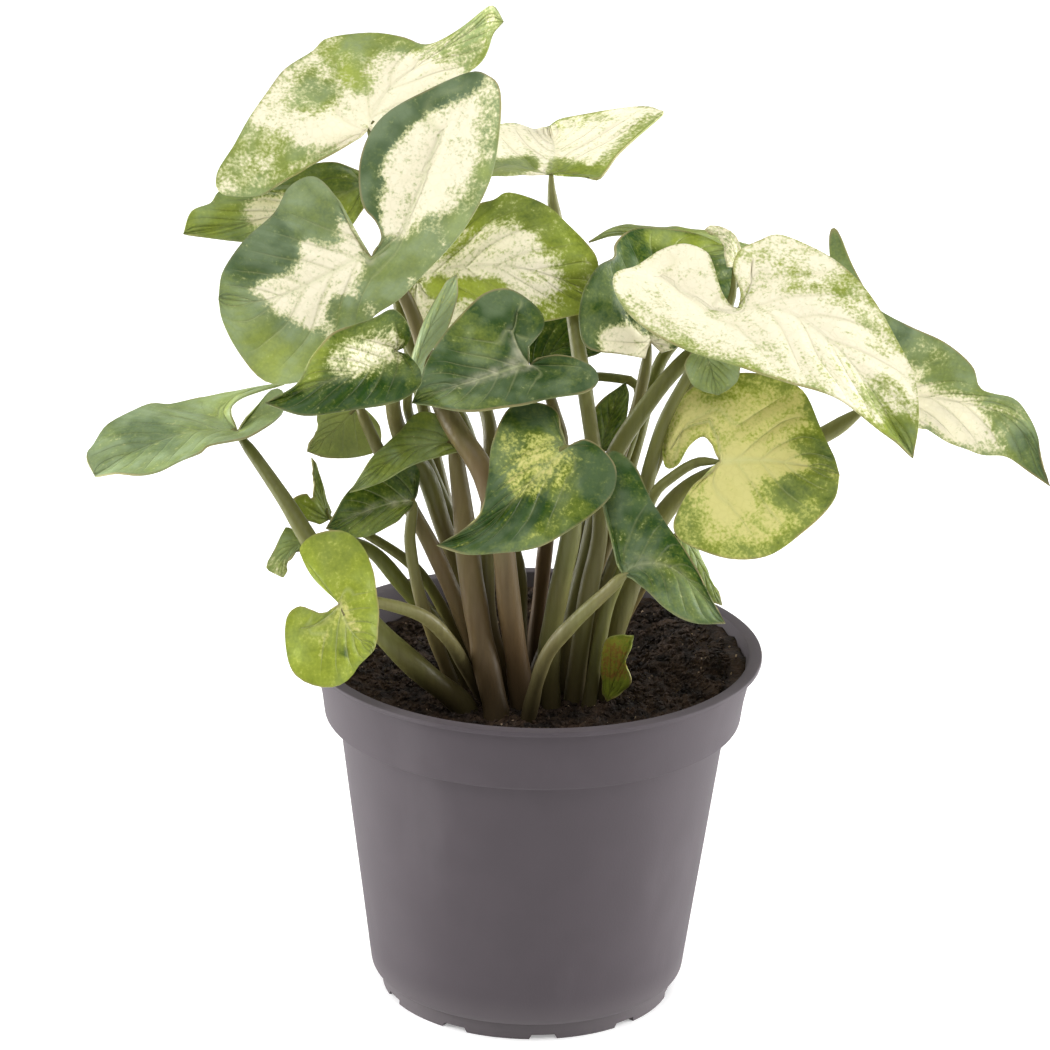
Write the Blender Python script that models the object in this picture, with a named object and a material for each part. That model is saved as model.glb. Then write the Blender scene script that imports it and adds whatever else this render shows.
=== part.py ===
"""A potted syngonium: nursery pot, soil, and one petiole with one blade for each leaf.

Metres, +Z up. The plant is laid out about the pot's axis, with the pot's feet on z = 0, and is then
moved so that the centre of the whole part's footprint is the origin.
"""
from math import ceil, cos, radians, sin, sqrt, tau

import bmesh
import bpy
from mathutils import Vector

MM = 0.001
GAP = 0.3 * MM                  # clearance between pieces that touch

# ---- pot -------------------------------------------------------------------------------------------
POT_HEIGHT = 95.3 * MM
RIM_RADIUS = 60.0 * MM          # thin flat lip
LIP_THICK = 1.3 * MM
BAND_TOP_RADIUS = 57.6 * MM     # collar under the lip
BAND_LOW_RADIUS = 54.9 * MM
BAND_HEIGHT = 17.9 * MM
BODY_TOP_RADIUS = 51.2 * MM
BODY_LOW_RADIUS = 41.4 * MM
WALL = 1.2 * MM
FOOT_HEIGHT = 4.6 * MM          # of the ring under the floor
NOTCH_DEPTH = 1.2 * MM          # of the gaps that part the ring's lower edge into feet
FLOOR_THICK = 1.6 * MM
EDGE_ROUND = 3.0 * MM           # rounded edge between wall and floor
FOOT_OUTER = 38.6 * MM
FOOT_INNER = 34.6 * MM
FOOT_COUNT = 10
STEPS_PER_FOOT = 4              # three of them foot, one of them gap
POT_TURN = -6.5                 # degrees that the ring of feet is turned about the pot's axis
DRAIN_OUTER = 27.0 * MM
DRAIN_INNER = 21.0 * MM

# ---- plant -----------------------------------------------------------------------------------------
SOIL_TOP = 86.0 * MM
BLADE_THICK = 0.7 * MM
STALK_SIDES = 7
STALK_RINGS = 8
STALK_END_DROP = 1.25 * MM      # the stalk's end lies this far under its blade's middle surface
STALK_END_RADIUS = 0.6 * MM
TIP_ROWS = 4                    # least rows of faces from the stalk to the tip of a blade
HALF_COLUMNS = 2                # columns of faces from the midrib to the margin

# Leaf points are (across, height, back) in millimetres: where the point shows, seen from EYE, on the
# upright plane through the pot's axis, and how far behind that plane the point really lies.
EYE = Vector((-3.1, -1224.6, 571.3))

# Each leaf has its midrib from stalk to tip, its left and right margins from the notch at the stalk
# to near the tip, the number of the margin point that is level with the stalk on each side, and its
# stalk: its foot on the soil (x, y), its radii at the top, half way and at the foot, and its points
# from below the blade downwards. A lobe that bends round its notch has a rib too, from the stalk out.
LEAVES = {
    "top_left": dict(
        midrib=[(-45, 235, 25), (-38, 247, 37), (-30, 254, 43), (-20, 260.5, 44),
                (-14, 265.5, 40), (-11.5, 263.5, 36)],
        left=[(-47, 232.5, 22), (-53, 228.5, 19), (-60, 224.5, 17), (-68, 219.5, 13),
              (-73, 216.5, 11), (-82, 217, 9), (-83.5, 222, 12), (-79, 230, 18),
              (-75.5, 236.5, 24), (-70.5, 244, 33), (-66.3, 249.7, 39), (-59.5, 254.5, 46),
              (-55.5, 258.3, 50), (-45, 259.8, 53), (-36.5, 258.6, 51), (-31.5, 256.7, 48),
              (-27, 258.5, 47), (-21, 262.5, 46), (-16.5, 266, 43), (-14, 267.5, 40)],
        right=[(-43, 233, 25), (-38, 231, 24), (-30, 238, 30), (-22, 248, 36), (-16.5, 253.5, 38),
               (-14, 260, 38)],
        level=(10, 1), foot=(-4, 8), radii=(1.5, 1.7, 2.2),
        stalk=[(-41, 222, 22), (-38, 205, 15), (-36, 185, 5), (-29, 169, 4), (-21, 160, 4),
               (-17, 150, 5), (-10, 132, 8), (-5, 118, 9), (-4, 102, 8.5)]),
    "front_left": dict(
        midrib=[(-44, 201, -12), (-56, 196, -17), (-70, 189, -23), (-83, 189, -27)],
        left=[(-42.8, 203.5, -12), (-41.2, 206, -11), (-43, 210.5, -9), (-46, 214, -8),
              (-47.3, 220, -5), (-47, 227, -2), (-44.5, 234, 2), (-40, 239.5, 5), (-32, 244.5, 8),
              (-20, 250.2, 10), (-15, 249.5, 9), (-12, 246, 6), (-11.8, 236, 0),
              (-14, 222, -6), (-21, 208, -12), (-32, 195, -19), (-37, 189.5, -22),
              (-42, 186, -25), (-46, 182, -28), (-53, 172, -32), (-62, 167, -35), (-71, 167, -35), (-78, 175, -32),
              (-82, 183, -29)],
        left_rib=[(-38, 208, -10), (-32, 220, -4), (-25, 233, 2)],
        right=[(-45, 202.5, -12), (-48.3, 207, -10), (-50.5, 211, -8), (-54, 218, -4),
               (-59, 222, -2), (-65, 219, -4), (-69, 212, -9), (-77, 204, -15),
               (-82, 196, -22)],
        level=(17, 5), foot=(-2.5, -19.5), radii=(1.6, 3.0, 3.2),
        stalk=[(-36, 192, -8), (-31, 180, -6), (-27.5, 167, -9), (-21.5, 155, -21),
               (-14, 143, -27), (-9, 125, -27), (-6.5, 105, -24)]),
    "curled_left": dict(
        midrib=[(-37, 176, -24), (-42, 172, -31), (-48, 170, -36), (-59, 166, -41), (-71, 161, -46)],
        left=[(-34, 175, -26), (-31, 171, -30), (-31, 167, -34), (-35, 163, -37),
              (-42, 161, -41), (-52, 159, -44), (-62, 158, -47)],
        right=[(-35, 177, -25), (-33.6, 180, -26), (-34.5, 183.5, -27.5), (-38, 187, -29.5),
               (-42.5, 185, -32), (-48, 183, -34), (-54, 180, -37), (-59, 174, -41), (-62, 167, -44)],
        level=(3, 5), foot=(-9, -3), radii=(1.7, 2.5, 2.4),
        stalk=[(-38, 162, -18), (-35, 151, -10), (-29, 142, -6), (-24, 127, -5), (-17, 108, -3)]),
    "far_left": dict(
        midrib=[(-78, 153, -4), (-90, 153, -3), (-104, 148, -6), (-115, 139.8, -12)],
        left=[(-76, 157, -2), (-73, 160.5, 2), (-69.3, 164.5, 6), (-66.5, 164.5, 6),
              (-66, 160, 1), (-68, 157, -4), (-71.5, 154, -9), (-75.5, 151.3, -14),
              (-80, 150, -17), (-86, 149, -21), (-88, 147, -22), (-93, 144.3, -23),
              (-98, 142, -23), (-104, 140.6, -22), (-110, 140.6, -18)],
        right=[(-79.5, 157.5, 0), (-79.3, 160, 4), (-76.5, 162.5, 8), (-70, 165.2, 12),
               (-66, 166.7, 15), (-72, 165.8, 16), (-80, 163.8, 17), (-88, 161.7, 16),
               (-95, 160.3, 14), (-100, 160.3, 12), (-105, 157.8, 9), (-112, 154, 3),
               (-115.5, 148.5, -3), (-117.3, 145, -8)],
        right_rib=[(-83, 158.5, 7), (-79, 162.5, 12), (-74, 164.6, 13)],
        level=(8, 7), foot=(-18, -21), radii=(1.5, 2.6, 3.4),
        stalk=[(-66.6, 136, -16), (-59.5, 124, -22), (-52, 112, -27), (-42, 100, -29),
               (-30, 88, -27)]),
    "low_left": dict(
        midrib=[(-51, 106, -50), (-48.5, 99, -53), (-42, 93.3, -52)],
        left=[(-52, 107.5, -48), (-55, 110.5, -46), (-58.5, 114, -44), (-61, 118.5, -42),
              (-61.7, 121.5, -41), (-58.5, 125, -40), (-53, 126.6, -39), (-48.5, 125.5, -40),
              (-45, 121.5, -41), (-42.5, 115, -43), (-41.2, 107, -46), (-41, 99, -49)],
        right=[(-53, 104.3, -50), (-55.5, 103.2, -51), (-58, 104, -51), (-61.5, 105.2, -51),
               (-64.5, 103, -52), (-65.5, 98.5, -53), (-64.8, 91, -55), (-62.5, 85.5, -58),
               (-57.5, 82.8, -59), (-52, 82.7, -59), (-48, 85.5, -57), (-45, 90.5, -54)],
        right_rib=[(-57.5, 100.5, -52.2), (-61, 98.7, -53)],
        level=(9, 7), foot=(-13, -14.5), radii=(1.3, 1.8, 1.9),
        stalk=[(-47, 107, -46), (-40, 106.5, -42), (-29, 103, -36), (-22, 96, -30),
               (-18, 89, -22)]),
    "dark_centre": dict(
        midrib=[(-3, 173, -16), (-12, 170, -20), (-22, 167, -25), (-33, 162, -31)],
        left=[(-1, 175, -16), (5, 176, -17), (12, 174, -19), (15, 170, -22), (12, 166, -25),
              (3, 164, -28), (-6, 162, -30), (-16, 160, -32), (-26, 161, -32)],
        right=[(-3, 178, -15), (0.5, 183, -12), (0, 187, -11), (-4, 191, -9), (-9, 193.5, -9),
               (-15, 192, -11), (-21, 186, -15), (-27, 178, -20), (-30, 171, -27)],
        right_rib=[(-7, 181, -13), (-7, 187, -11)],
        level=(5, 6), foot=(0, 12.5), radii=(1.2, 2.0, 2.2),
        stalk=[(1, 168, -8), (4, 160, -3), (6, 150, 1), (3, 130, 10)]),
    "front_centre": dict(
        midrib=[(7, 151, -30), (-1, 143, -36.5), (-9, 133, -43.5), (-17, 126, -48), (-26, 123, -50)],
        left=[(9, 152, -29), (12, 153, -28), (16, 151, -29), (20, 146, -32), (20, 140, -35),
              (17, 135, -38), (10, 129, -43), (0, 123, -48), (-12, 121, -51), (-20, 121, -52)],
        right=[(6, 155, -27), (4, 161, -21), (-2, 163, -20), (-8, 161, -22), (-12, 152, -31),
               (-13, 142, -38), (-15, 132, -45), (-20, 127, -48)],
        level=(6, 4), foot=(4.5, -17), radii=(1.7, 2.7, 2.8),
        stalk=[(9, 140, -25), (9, 128, -23), (6, 110, -20), (4, 95, -18)]),
    "hanging_right": dict(
        midrib=[(23, 116, -44), (34, 119, -42), (42, 113, -44), (50, 103, -47)],
        left=[(21, 119, -43), (19, 127, -38), (17, 136, -31), (16, 144, -25), (19, 150, -20),
              (25, 146, -22), (29, 138, -28), (34, 130, -34), (41, 120, -40), (45, 112, -44)],
        right=[(25, 115, -45), (29, 112, -47), (34, 107, -50), (42, 103, -50)],
        level=(5, 0), foot=(-1, -26.5), radii=(1.5, 1.9, 2.0),
        stalk=[(18.5, 111, -41.3), (10, 102, -38), (3, 92, -33)]),
    "lime_right": dict(
        midrib=[(47, 148, -18), (57, 149, -17), (68, 148, -18), (78.2, 145, -22)],
        left=[(45, 152, -17), (42.5, 154.5, -15), (39, 152, -13), (36, 146.5, -12),
              (33, 146, -11), (32, 151, -10), (33, 158, -8), (38, 167, -6), (46, 171, -4), (56, 172, -4), (67, 168.5, -6),
              (72, 159, -10), (76, 151, -16)],
        left_rib=[(43, 158, -13), (37, 156, -11), (34.5, 151, -11)],
        right=[(45.5, 145.5, -20), (40.5, 141.5, -21), (37.5, 136, -23), (35.5, 131, -26),
               (36.5, 127, -28), (41, 124, -30), (51, 121, -32), (61, 122.5, -32),
               (70, 129.5, -30), (77, 138, -26)],
        level=(9, 6), foot=(14.5, -18), radii=(1.2, 1.6, 2.0),
        stalk=[(41, 147.5, -14), (35, 143.5, -15), (30, 138, -16), (26, 125, -16), (19, 107, -16)]),
    "large_right": dict(
        midrib=[(50, 189.5, -3), (58, 190.5, -5), (66, 187, -8), (75, 180, -14), (84, 170, -22),
                (97, 150, -34)],
        left=[(51, 192, -1), (50.3, 195, 1), (49, 198.5, 3), (48.7, 202, 6), (50.5, 205.5, 10),
              (55, 207.8, 14), (60, 209.3, 16), (68, 206.3, 13), (76, 202, 7), (83, 195, 0),
              (90, 184, -8), (96, 173, -18), (98, 161, -28)],
        left_rib=[(53, 196, 2), (54, 202, 8)],
        right=[(48, 190.5, -3), (46, 193, -1), (44.7, 197, 2), (43.5, 201, 5), (41.5, 204.5, 8),
               (36, 206.5, 10), (30, 204.8, 8), (24, 200.5, 3), (18.3, 198, -2), (19.5, 191.5, -8),
               (26, 184, -14), (37, 178, -20), (50, 174, -24), (64, 170, -28), (78, 165, -31),
               (90, 156, -34)],
        right_rib=[(44, 190, -4), (37, 194, 0), (30, 197, 1)],
        level=(7, 12), foot=(6, -9.5), radii=(2.0, 2.3, 2.5),
        stalk=[(46, 183.5, 1), (40, 178, 0), (35, 173, -2), (29, 165, -4), (20, 150, -6),
               (16, 135, -7), (13, 120, -8), (10, 105, -9)]),
    "dark_right": dict(
        midrib=[(28, 180, 6), (26, 190, 10), (32, 200, 20), (47, 205.5, 32)],
        left=[(27, 175.5, 5), (20, 176.5, 0), (12, 178, -2), (9.8, 184, -2), (10, 191, -1),
              (11.5, 196, 2), (14.5, 200.3, 6), (18.3, 202.5, 10), (18, 205.5, 14),
              (20, 208.3, 20), (24, 210.5, 26), (31, 210.3, 29), (40, 208.8, 31)],
        right=[(31, 177, 5), (37, 180, 8), (45, 187, 18), (50, 196, 28)],
        level=(5, 1), foot=(5, -1.5), radii=(1.5, 1.7, 2.1),
        stalk=[(27, 173, 5), (25, 162, 5), (22, 152, 4), (17, 135, 4), (12, 118, 3), (8, 100, 1)]),
    "far_right": dict(
        midrib=[(84, 163, 16), (98, 167, 14), (112, 166, 8), (124, 160, 0), (133, 143, -10)],
        left=[(82, 168, 20), (78, 185, 28), (74, 200, 33), (72.8, 208, 36), (73.2, 211.3, 37),
              (74.8, 211, 37), (77, 206, 34), (80, 200, 31), (85, 191.6, 27), (88, 189, 26),
              (95, 185.5, 24), (104, 181.5, 20), (111, 175.5, 14), (114, 168.5, 10),
              (122, 167, 6), (126.3, 162.3, 2), (129, 156.5, -2), (130.2, 150, -6)],
        right=[(86, 160, 12), (97, 158.7, 8), (102, 157.2, 4), (106, 154.5, 1), (111, 152.6, -2),
               (115, 151.4, -3), (121, 151, -4), (127, 147, -7)],
        level=(10, 1), foot=(18, -9), radii=(2.2, 2.6, 3.4),
        stalk=[(73, 155.5, 14), (56, 148, 8), (40, 141, 1), (31, 130, -3), (25, 114, -6),
               (20, 98, -8)]),
    "top_centre": dict(
        midrib=[(1.5, 224, 22), (1, 231, 40), (0.8, 236.5, 60)],
        left=[(-1, 223.8, 21.5), (-4, 225.2, 22.5), (-8, 226, 22), (-12, 225, 19), (-16, 223, 14),
              (-19, 227, 22), (-19, 233, 36), (-12, 236.8, 50), (-6, 236.4, 55), (-2, 235.8, 58)],
        right=[(3.5, 225, 22.5), (8, 224.3, 19), (13, 223, 14), (15.5, 225.5, 17), (18, 229, 22),
               (23, 234, 34), (29.3, 240.5, 46), (28, 241.6, 49), (24, 242, 51), (13, 240.7, 57),
               (5, 239, 60), (2, 237.3, 60)],
        level=(6, 5), foot=(10.5, -14.5), radii=(1.8, 2.1, 2.6),
        stalk=[(2.2, 216, 19), (6, 197, 14), (8, 187, 10), (9.5, 178, 4), (12, 164, -6),
               (15, 145, -10), (16.5, 128, -14), (13.5, 108, -14.5)]),
    "cream_centre": dict(
        midrib=[(-32, 196, 8), (-20, 199, 4), (-8, 199, 2), (4, 196, 5), (14, 192, 10)],
        left=[(-30, 200, 9), (-26, 207, 12), (-18, 215, 15), (-13, 217, 17), (-9, 219, 17),
              (0, 216, 14), (6, 211, 12), (11, 206, 11), (14, 201, 10)],
        right=[(-34.5, 192, 7), (-33, 186, 5), (-26, 181, 2), (-14, 184, -3), (-4, 184, -4),
               (6, 186, 3), (12, 188, 8)],
        level=(2, 2), foot=(-5.5, -13), radii=(1.4, 2.0, 2.2),
        stalk=[(-28, 188, 10), (-19, 173, 5), (-13, 157, -5), (-12.5, 142, -12), (-13, 125, -15),
               (-11.5, 100, -15)]),
    "back_left": dict(
        midrib=[(-46, 220, 32), (-60, 214, 28), (-76, 209, 22), (-92, 206, 16)],
        left=[(-44, 217, 31), (-50, 208, 27), (-56, 203, 24), (-64, 202, 21), (-76, 204.5, 17),
              (-85, 205, 16)],
        right=[(-45, 222, 34), (-48, 224, 36), (-54, 226, 37), (-62, 224, 36), (-72, 219, 30),
               (-82, 218, 24), (-85, 214.5, 21), (-90, 212, 18)],
        level=(1, 3), foot=(-10.5, 3), radii=(1.4, 1.7, 2.0),
        stalk=[(-42, 214, 36), (-39.5, 205, 30), (-37, 190, 20), (-31, 165, 14), (-25, 140, 14),
               (-18, 112, 10)]),
    "edge_right": dict(
        midrib=[(54, 205, 44), (46, 208, 45), (36, 209, 44), (27, 209, 43), (19, 209.3, 41),
                (11.5, 206.3, 38)],
        left=[(54, 203, 37), (46, 206.5, 37), (36, 207.5, 37), (27, 208, 37), (19, 208.5, 37.5)],
        right=[(54, 205.5, 54), (46, 209, 56), (38, 210.4, 56), (34, 211, 55), (30, 210.2, 53),
               (25, 211, 50), (21, 211.3, 47), (16, 209.3, 43)],
        level=(0, 1), foot=(4.5, 10), radii=(1.2, 2.0, 1.9),
        stalk=[(50, 197, 40), (40, 186, 34), (32, 177, 29), (28, 166, 25), (25, 152, 21),
               (17, 120, 15)]),
    "dark_left": dict(
        midrib=[(-32, 135, -18), (-42, 133, -24), (-55, 127, -32)],
        left=[(-33, 133, -19), (-37, 129, -23), (-44, 125, -29), (-50, 125, -32)],
        right=[(-31, 138, -16), (-31, 144, -12), (-36, 147, -12), (-44, 143, -18),
               (-50, 136, -26)],
        level=(1, 2), foot=(-20, -13), radii=(1.4, 1.7, 1.9),
        stalk=[(-33, 124, -19), (-30, 108, -19), (-25, 94, -16)]),
    "twisted_left": dict(
        midrib=[(-54, 129.5, -2), (-56.5, 136, 0), (-58.8, 146.5, 2)],
        left=[(-56.5, 128, -6), (-62, 130, -8), (-63.5, 134, -7), (-62.8, 135.5, -6),
              (-60, 136.5, -4), (-58.5, 134.5, -3), (-58.3, 140, 0)],
        right=[(-53.8, 131.5, 0), (-55.6, 138, 1), (-57.3, 144, 2)],
        level=(5, 0), foot=(-16, 0.5), radii=(1.1, 1.5, 1.7),
        stalk=[(-45, 126, -3), (-31, 116, -4), (-22, 101, -2)]),
    "small_low_left": dict(
        midrib=[(-61, 123, -14), (-64.5, 121, -15), (-66.5, 117, -17), (-66, 113, -18)],
        left=[(-60.5, 121.5, -15), (-63, 120, -16), (-65, 117.5, -17), (-65.3, 114.5, -18)],
        right=[(-62.5, 126, -12), (-65.5, 127, -12), (-67.5, 122.5, -14), (-70.3, 117, -17),
               (-70, 115, -17.5), (-67.5, 113.7, -18)],
        level=(1, 1), foot=(-17, -6.5), radii=(1.1, 2.2, 2.3),
        stalk=[(-52, 124, -13), (-43, 121, -14), (-35, 112, -13), (-26, 101, -11)]),
    "lime_left": dict(
        midrib=[(-47, 161, -4), (-52, 156, -5), (-60, 148, -8)],
        left=[(-49, 162, -3), (-55, 161.5, -4), (-57.5, 158, -5), (-57.3, 154.5, -6),
              (-59, 151, -8)],
        right=[(-45, 160, -2), (-41, 155, 2), (-42, 149, 2), (-47, 146.8, -3), (-54, 146.4, -7)],
        level=(1, 1), foot=(-11.5, -9.5), radii=(1.4, 2.2, 2.2),
        stalk=[(-46, 159, -8), (-41, 148, -9), (-34, 135, -10), (-27, 122, -12), (-20, 106, -12)]),
    "folded_centre": dict(
        midrib=[(-22, 151, -16), (-32, 150, -22), (-41, 144, -28), (-49, 137, -34)],
        left=[(-20, 149, -17), (-28, 147, -23), (-36, 143, -29), (-43, 139, -32)],
        right=[(-22, 155, -14), (-26, 159, -12), (-32, 159, -14), (-37, 153, -20),
               (-43, 147, -27)],
        level=(0, 2), foot=(-9.5, -24), radii=(2.0, 3.3, 3.4),
        stalk=[(-20, 138, -17), (-17, 115, -21), (-13.5, 95, -23)]),
    "young_roll": dict(
        midrib=[(-33, 167, -20), (-31, 177, -18), (-27, 187, -14), (-22, 197, -10)],
        left=[(-35, 169, -19), (-33, 176, -17), (-29, 187, -13), (-25, 194, -10)],
        right=[(-31, 169, -18), (-29, 175, -16), (-24, 183, -12), (-22, 190, -10)],
        level=(0, 0), foot=(-4.5, 1), radii=(1.2, 1.5, 1.8),
        stalk=[(-34, 160, -12), (-29, 147, 1), (-20, 125, 6), (-12, 100, 4)]),
    "under_right": dict(
        midrib=[(42, 179, -15), (44, 173, -15), (46, 166, -16)],
        left=[(45, 180, -14), (51, 177, -15), (51, 171, -15), (49, 168, -16)],
        right=[(39, 178, -14), (37, 174, -14), (39, 169, -15), (42, 167, -16)],
        level=(1, 1), foot=(11.5, -7), radii=(1.3, 2.0, 1.9),
        stalk=[(40, 175, -11), (37, 169, -10.5), (32, 158, -11), (29, 146, -11), (27, 136, -10),
               (19, 115, -10), (14, 97, -8)]),
    "low_right": dict(
        midrib=[(38, 128, -6), (43, 120, -6), (49, 108, -8)],
        left=[(41, 126, -4), (43.8, 120, -4), (45, 116, -5), (47.5, 112.5, -6)],
        right=[(35, 125, -7), (36, 118, -9), (41, 111, -9)],
        level=(0, 1), foot=(17, 1), radii=(1.2, 1.5, 1.7),
        stalk=[(32, 120, 2), (25, 107, 3)]),
    "dark_back_centre": dict(
        midrib=[(16, 150, 7), (18, 158, 8), (22, 169, 9)],
        left=[(13, 150, 6), (12, 156, 6), (15, 163, 8)],
        right=[(19, 150, 8), (22, 158, 9), (23, 165, 9)],
        level=(1, 0), foot=(0.5, 3), radii=(1.2, 1.5, 1.8),
        stalk=[(14, 135, 8), (8, 110, 6)]),
    "pale_curl": dict(
        midrib=[(49, 200.5, 20), (49, 205, 21), (47.5, 208.6, 22), (44.5, 210.2, 23),
                (41, 210.2, 25)],
        left=[(47, 200.5, 19), (46.5, 204.5, 20), (45.5, 207.2, 22), (43.5, 209, 23.5)],
        right=[(50.8, 201, 21), (50.3, 205.5, 22), (48.7, 209.3, 23.5), (45, 211.3, 25),
               (42.5, 211.2, 26)],
        level=(0, 0), foot=(12.5, -1), radii=(1.1, 1.3, 1.6),
        stalk=[(48.5, 192, 18), (43, 178, 9), (36, 163, 8), (30, 145, 7), (22, 122, 4)]),
    "shaded_centre": dict(
        midrib=[(-2, 172, 16), (6, 178, 18), (17, 179, 16)],
        left=[(-6, 178, 19), (-4, 186, 22), (6, 188, 22), (13, 184, 18)],
        right=[(2, 171, 13), (9, 174, 13), (15, 177, 14)],
        level=(1, 0), foot=(8, 5), radii=(1.1, 1.4, 2.0),
        stalk=[(3, 167, 19), (11, 170, 19), (19, 170, 18), (25, 168, 17), (25, 158, 18),
               (20, 140, 15), (14, 118, 10)]),
}

BRACT = dict(
    midrib=[(19.6, 80.3, -17), (23.1, 90, -20), (26.1, 99, -22)],
    left=[(18.6, 82.6, -17), (17.6, 91, -20), (19.1, 98, -21), (23.1, 99, -22)],
    right=[(22.1, 81.6, -18), (25.9, 86, -20), (24.1, 91, -21), (25.4, 96.5, -22)],
    level=(1, 1))


def place(point):
    """The true position, in metres, of an (across, height, back) point."""
    across, height, back = point
    on_plane = Vector((across, 0.0, height))
    return (EYE + (on_plane - EYE) * (1.0 - back / EYE.y)) * MM


def curve_point(points, at):
    """The place, on a Catmull-Rom curve through points, of point number at; it may be a fraction."""
    k = min(int(at), len(points) - 2)
    u = at - k
    b, c = points[k], points[k + 1]
    a = points[k - 1] if k > 0 else 2 * b - c
    d = points[k + 2] if k + 2 < len(points) else 2 * c - b
    return 0.5 * (2 * b + (c - a) * u + (2 * a - 5 * b + 4 * c - d) * u ** 2
                  + (3 * b - a - 3 * c + d) * u ** 3)


def evenly(points, count):
    """Points at equal steps of length along the curve through points."""
    fine = [curve_point(points, k / 8) for k in range(8 * (len(points) - 1) + 1)]
    lengths = [0.0]
    for p, q in zip(fine, fine[1:]):
        lengths.append(lengths[-1] + (q - p).length)
    samples = []
    for step in range(count + 1):
        target = lengths[-1] * step / count
        k = max(1, next((i for i, at in enumerate(lengths) if at >= target), len(lengths) - 1))
        run = lengths[k] - lengths[k - 1]
        samples.append(fine[k - 1].lerp(fine[k], (target - lengths[k - 1]) / run))
    return samples


def row_plan(points, level, rib, tip_rows):
    """The rows of a half blade: where each starts and which margin point it ends at.

    A start is ("rib", n) or ("mid", n). The starts of the lobe's rows go out along its rib while the
    margin runs from the notch to the lobe's end, and come back while it runs on to the stalk's level.
    """
    last = len(rib) - 1
    end = min(range(level + 1), key=lambda i: (points[i] - rib[last]).length)
    plan = [("rib", 0, 0.0)]
    at = 0
    for i in range(1, level + 1):
        if i <= end:
            while at < ceil(last * i / end):
                at += 1
                plan.append(("rib", at, i - 1))
            plan.append(("rib", at, i))
        else:
            plan.append(("rib", at, i))
            while at > round(last * (level - i) / (level - end)):
                at -= 1
                plan.append(("rib", at, i))
    while at > 0:
        at -= 1
        plan.append(("rib", at, level))
    step = (len(points) - 1 - level) / tip_rows
    plan += [("mid", i, level + i * step) for i in range(1, tip_rows)]
    return plan


def blade_surface(leaf):
    """Vertices and triangles of a leaf's middle surface, with its upper face outwards."""
    tip = place(leaf["midrib"][-1])
    margins = [[place(p) for p in leaf[side]] + [tip] for side in ("left", "right")]
    tip_rows = max([TIP_ROWS] + [len(m) - 1 - level for m, level in zip(margins, leaf["level"])])
    verts = evenly([place(p) for p in leaf["midrib"]], tip_rows)
    faces = []
    for side, points, level in zip(("left", "right"), margins, leaf["level"]):
        rib = verts[:1] + [place(p) for p in leaf.get(side + "_rib", [])]
        starts = {("mid", i): i for i in range(tip_rows + 1)}
        starts["rib", 0] = 0
        for i in range(1, len(rib)):
            starts["rib", i] = len(verts)
            verts.append(rib[i])
        ends = {}
        rows = []
        for kind, number, at in row_plan(points, level, rib, tip_rows):
            start = starts[kind, number]
            if at not in ends:
                ends[at] = len(verts)
                verts.append(curve_point(points, at))
            row = [start]
            for j in range(1, HALF_COLUMNS):
                row.append(len(verts))
                verts.append(verts[start].lerp(verts[ends[at]], j / HALF_COLUMNS))
            rows.append(row + [ends[at]])
        rows.append([tip_rows] * (HALF_COLUMNS + 1))
        for row, after in zip(rows, rows[1:]):
            for j in range(HALF_COLUMNS):
                a, b, c, d = row[j], row[j + 1], after[j + 1], after[j]
                for face in ((a, b, c), (a, c, d)):
                    if len(set(face)) == 3:
                        faces.append(face[::-1] if side == "left" else face)
    return verts, faces


def make_object(name, bm, material, smooth_angle=None):
    """Turn a bmesh into a named object with one material."""
    mesh = bpy.data.meshes.new(name)
    bm.to_mesh(mesh)
    bm.free()
    mesh.materials.append(material)
    if smooth_angle is not None:
        mesh.shade_smooth()
        mesh.set_sharp_from_angle(angle=radians(smooth_angle))
    obj = bpy.data.objects.new(name, mesh)
    bpy.context.scene.collection.objects.link(obj)
    return obj


def make_blade(name, leaf, material):
    """A leaf blade: its middle surface thickened by the same amount to both sides."""
    verts, faces = blade_surface(leaf)
    bm = bmesh.new()
    made = [bm.verts.new(v) for v in verts]
    for face in faces:
        bm.faces.new([made[i] for i in face])
    bm.normal_update()
    normals = {v: v.normal.copy() for v in bm.verts}
    upper = list(bm.faces)
    edges = [e for e in bm.edges if e.is_boundary]
    below = {v: bm.verts.new(v.co - normals[v] * BLADE_THICK / 2) for v in list(normals)}
    for v, normal in normals.items():
        v.co += normal * BLADE_THICK / 2
    for edge in edges:
        loop = edge.link_loops[0]
        a, b = loop.vert, loop.link_loop_next.vert
        bm.faces.new((b, a, below[a]))
        bm.faces.new((b, below[a], below[b]))
    for face in upper:
        bm.faces.new([below[v] for v in reversed(face.verts)])
    return make_object(name, bm, material, smooth_angle=50)


def stalk_path(leaf):
    """The stalk's centre line from its foot on the soil to just under the blade."""
    verts, faces = blade_surface(leaf)
    upper = Vector((0, 0, 0))
    for a, b, c in faces:
        if 0 in (a, b, c):
            upper += (verts[b] - verts[a]).cross(verts[c] - verts[a]).normalized()
    upper.normalize()
    x, y = leaf["foot"]
    foot = Vector((x * MM, y * MM, SOIL_TOP + GAP))
    points = [foot] + [place(p) for p in reversed(leaf["stalk"])]
    if (points[-1] - verts[0]).dot(upper) > 0:
        upper.negate()
    points.append(verts[0] - upper * STALK_END_DROP)
    return points


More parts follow.
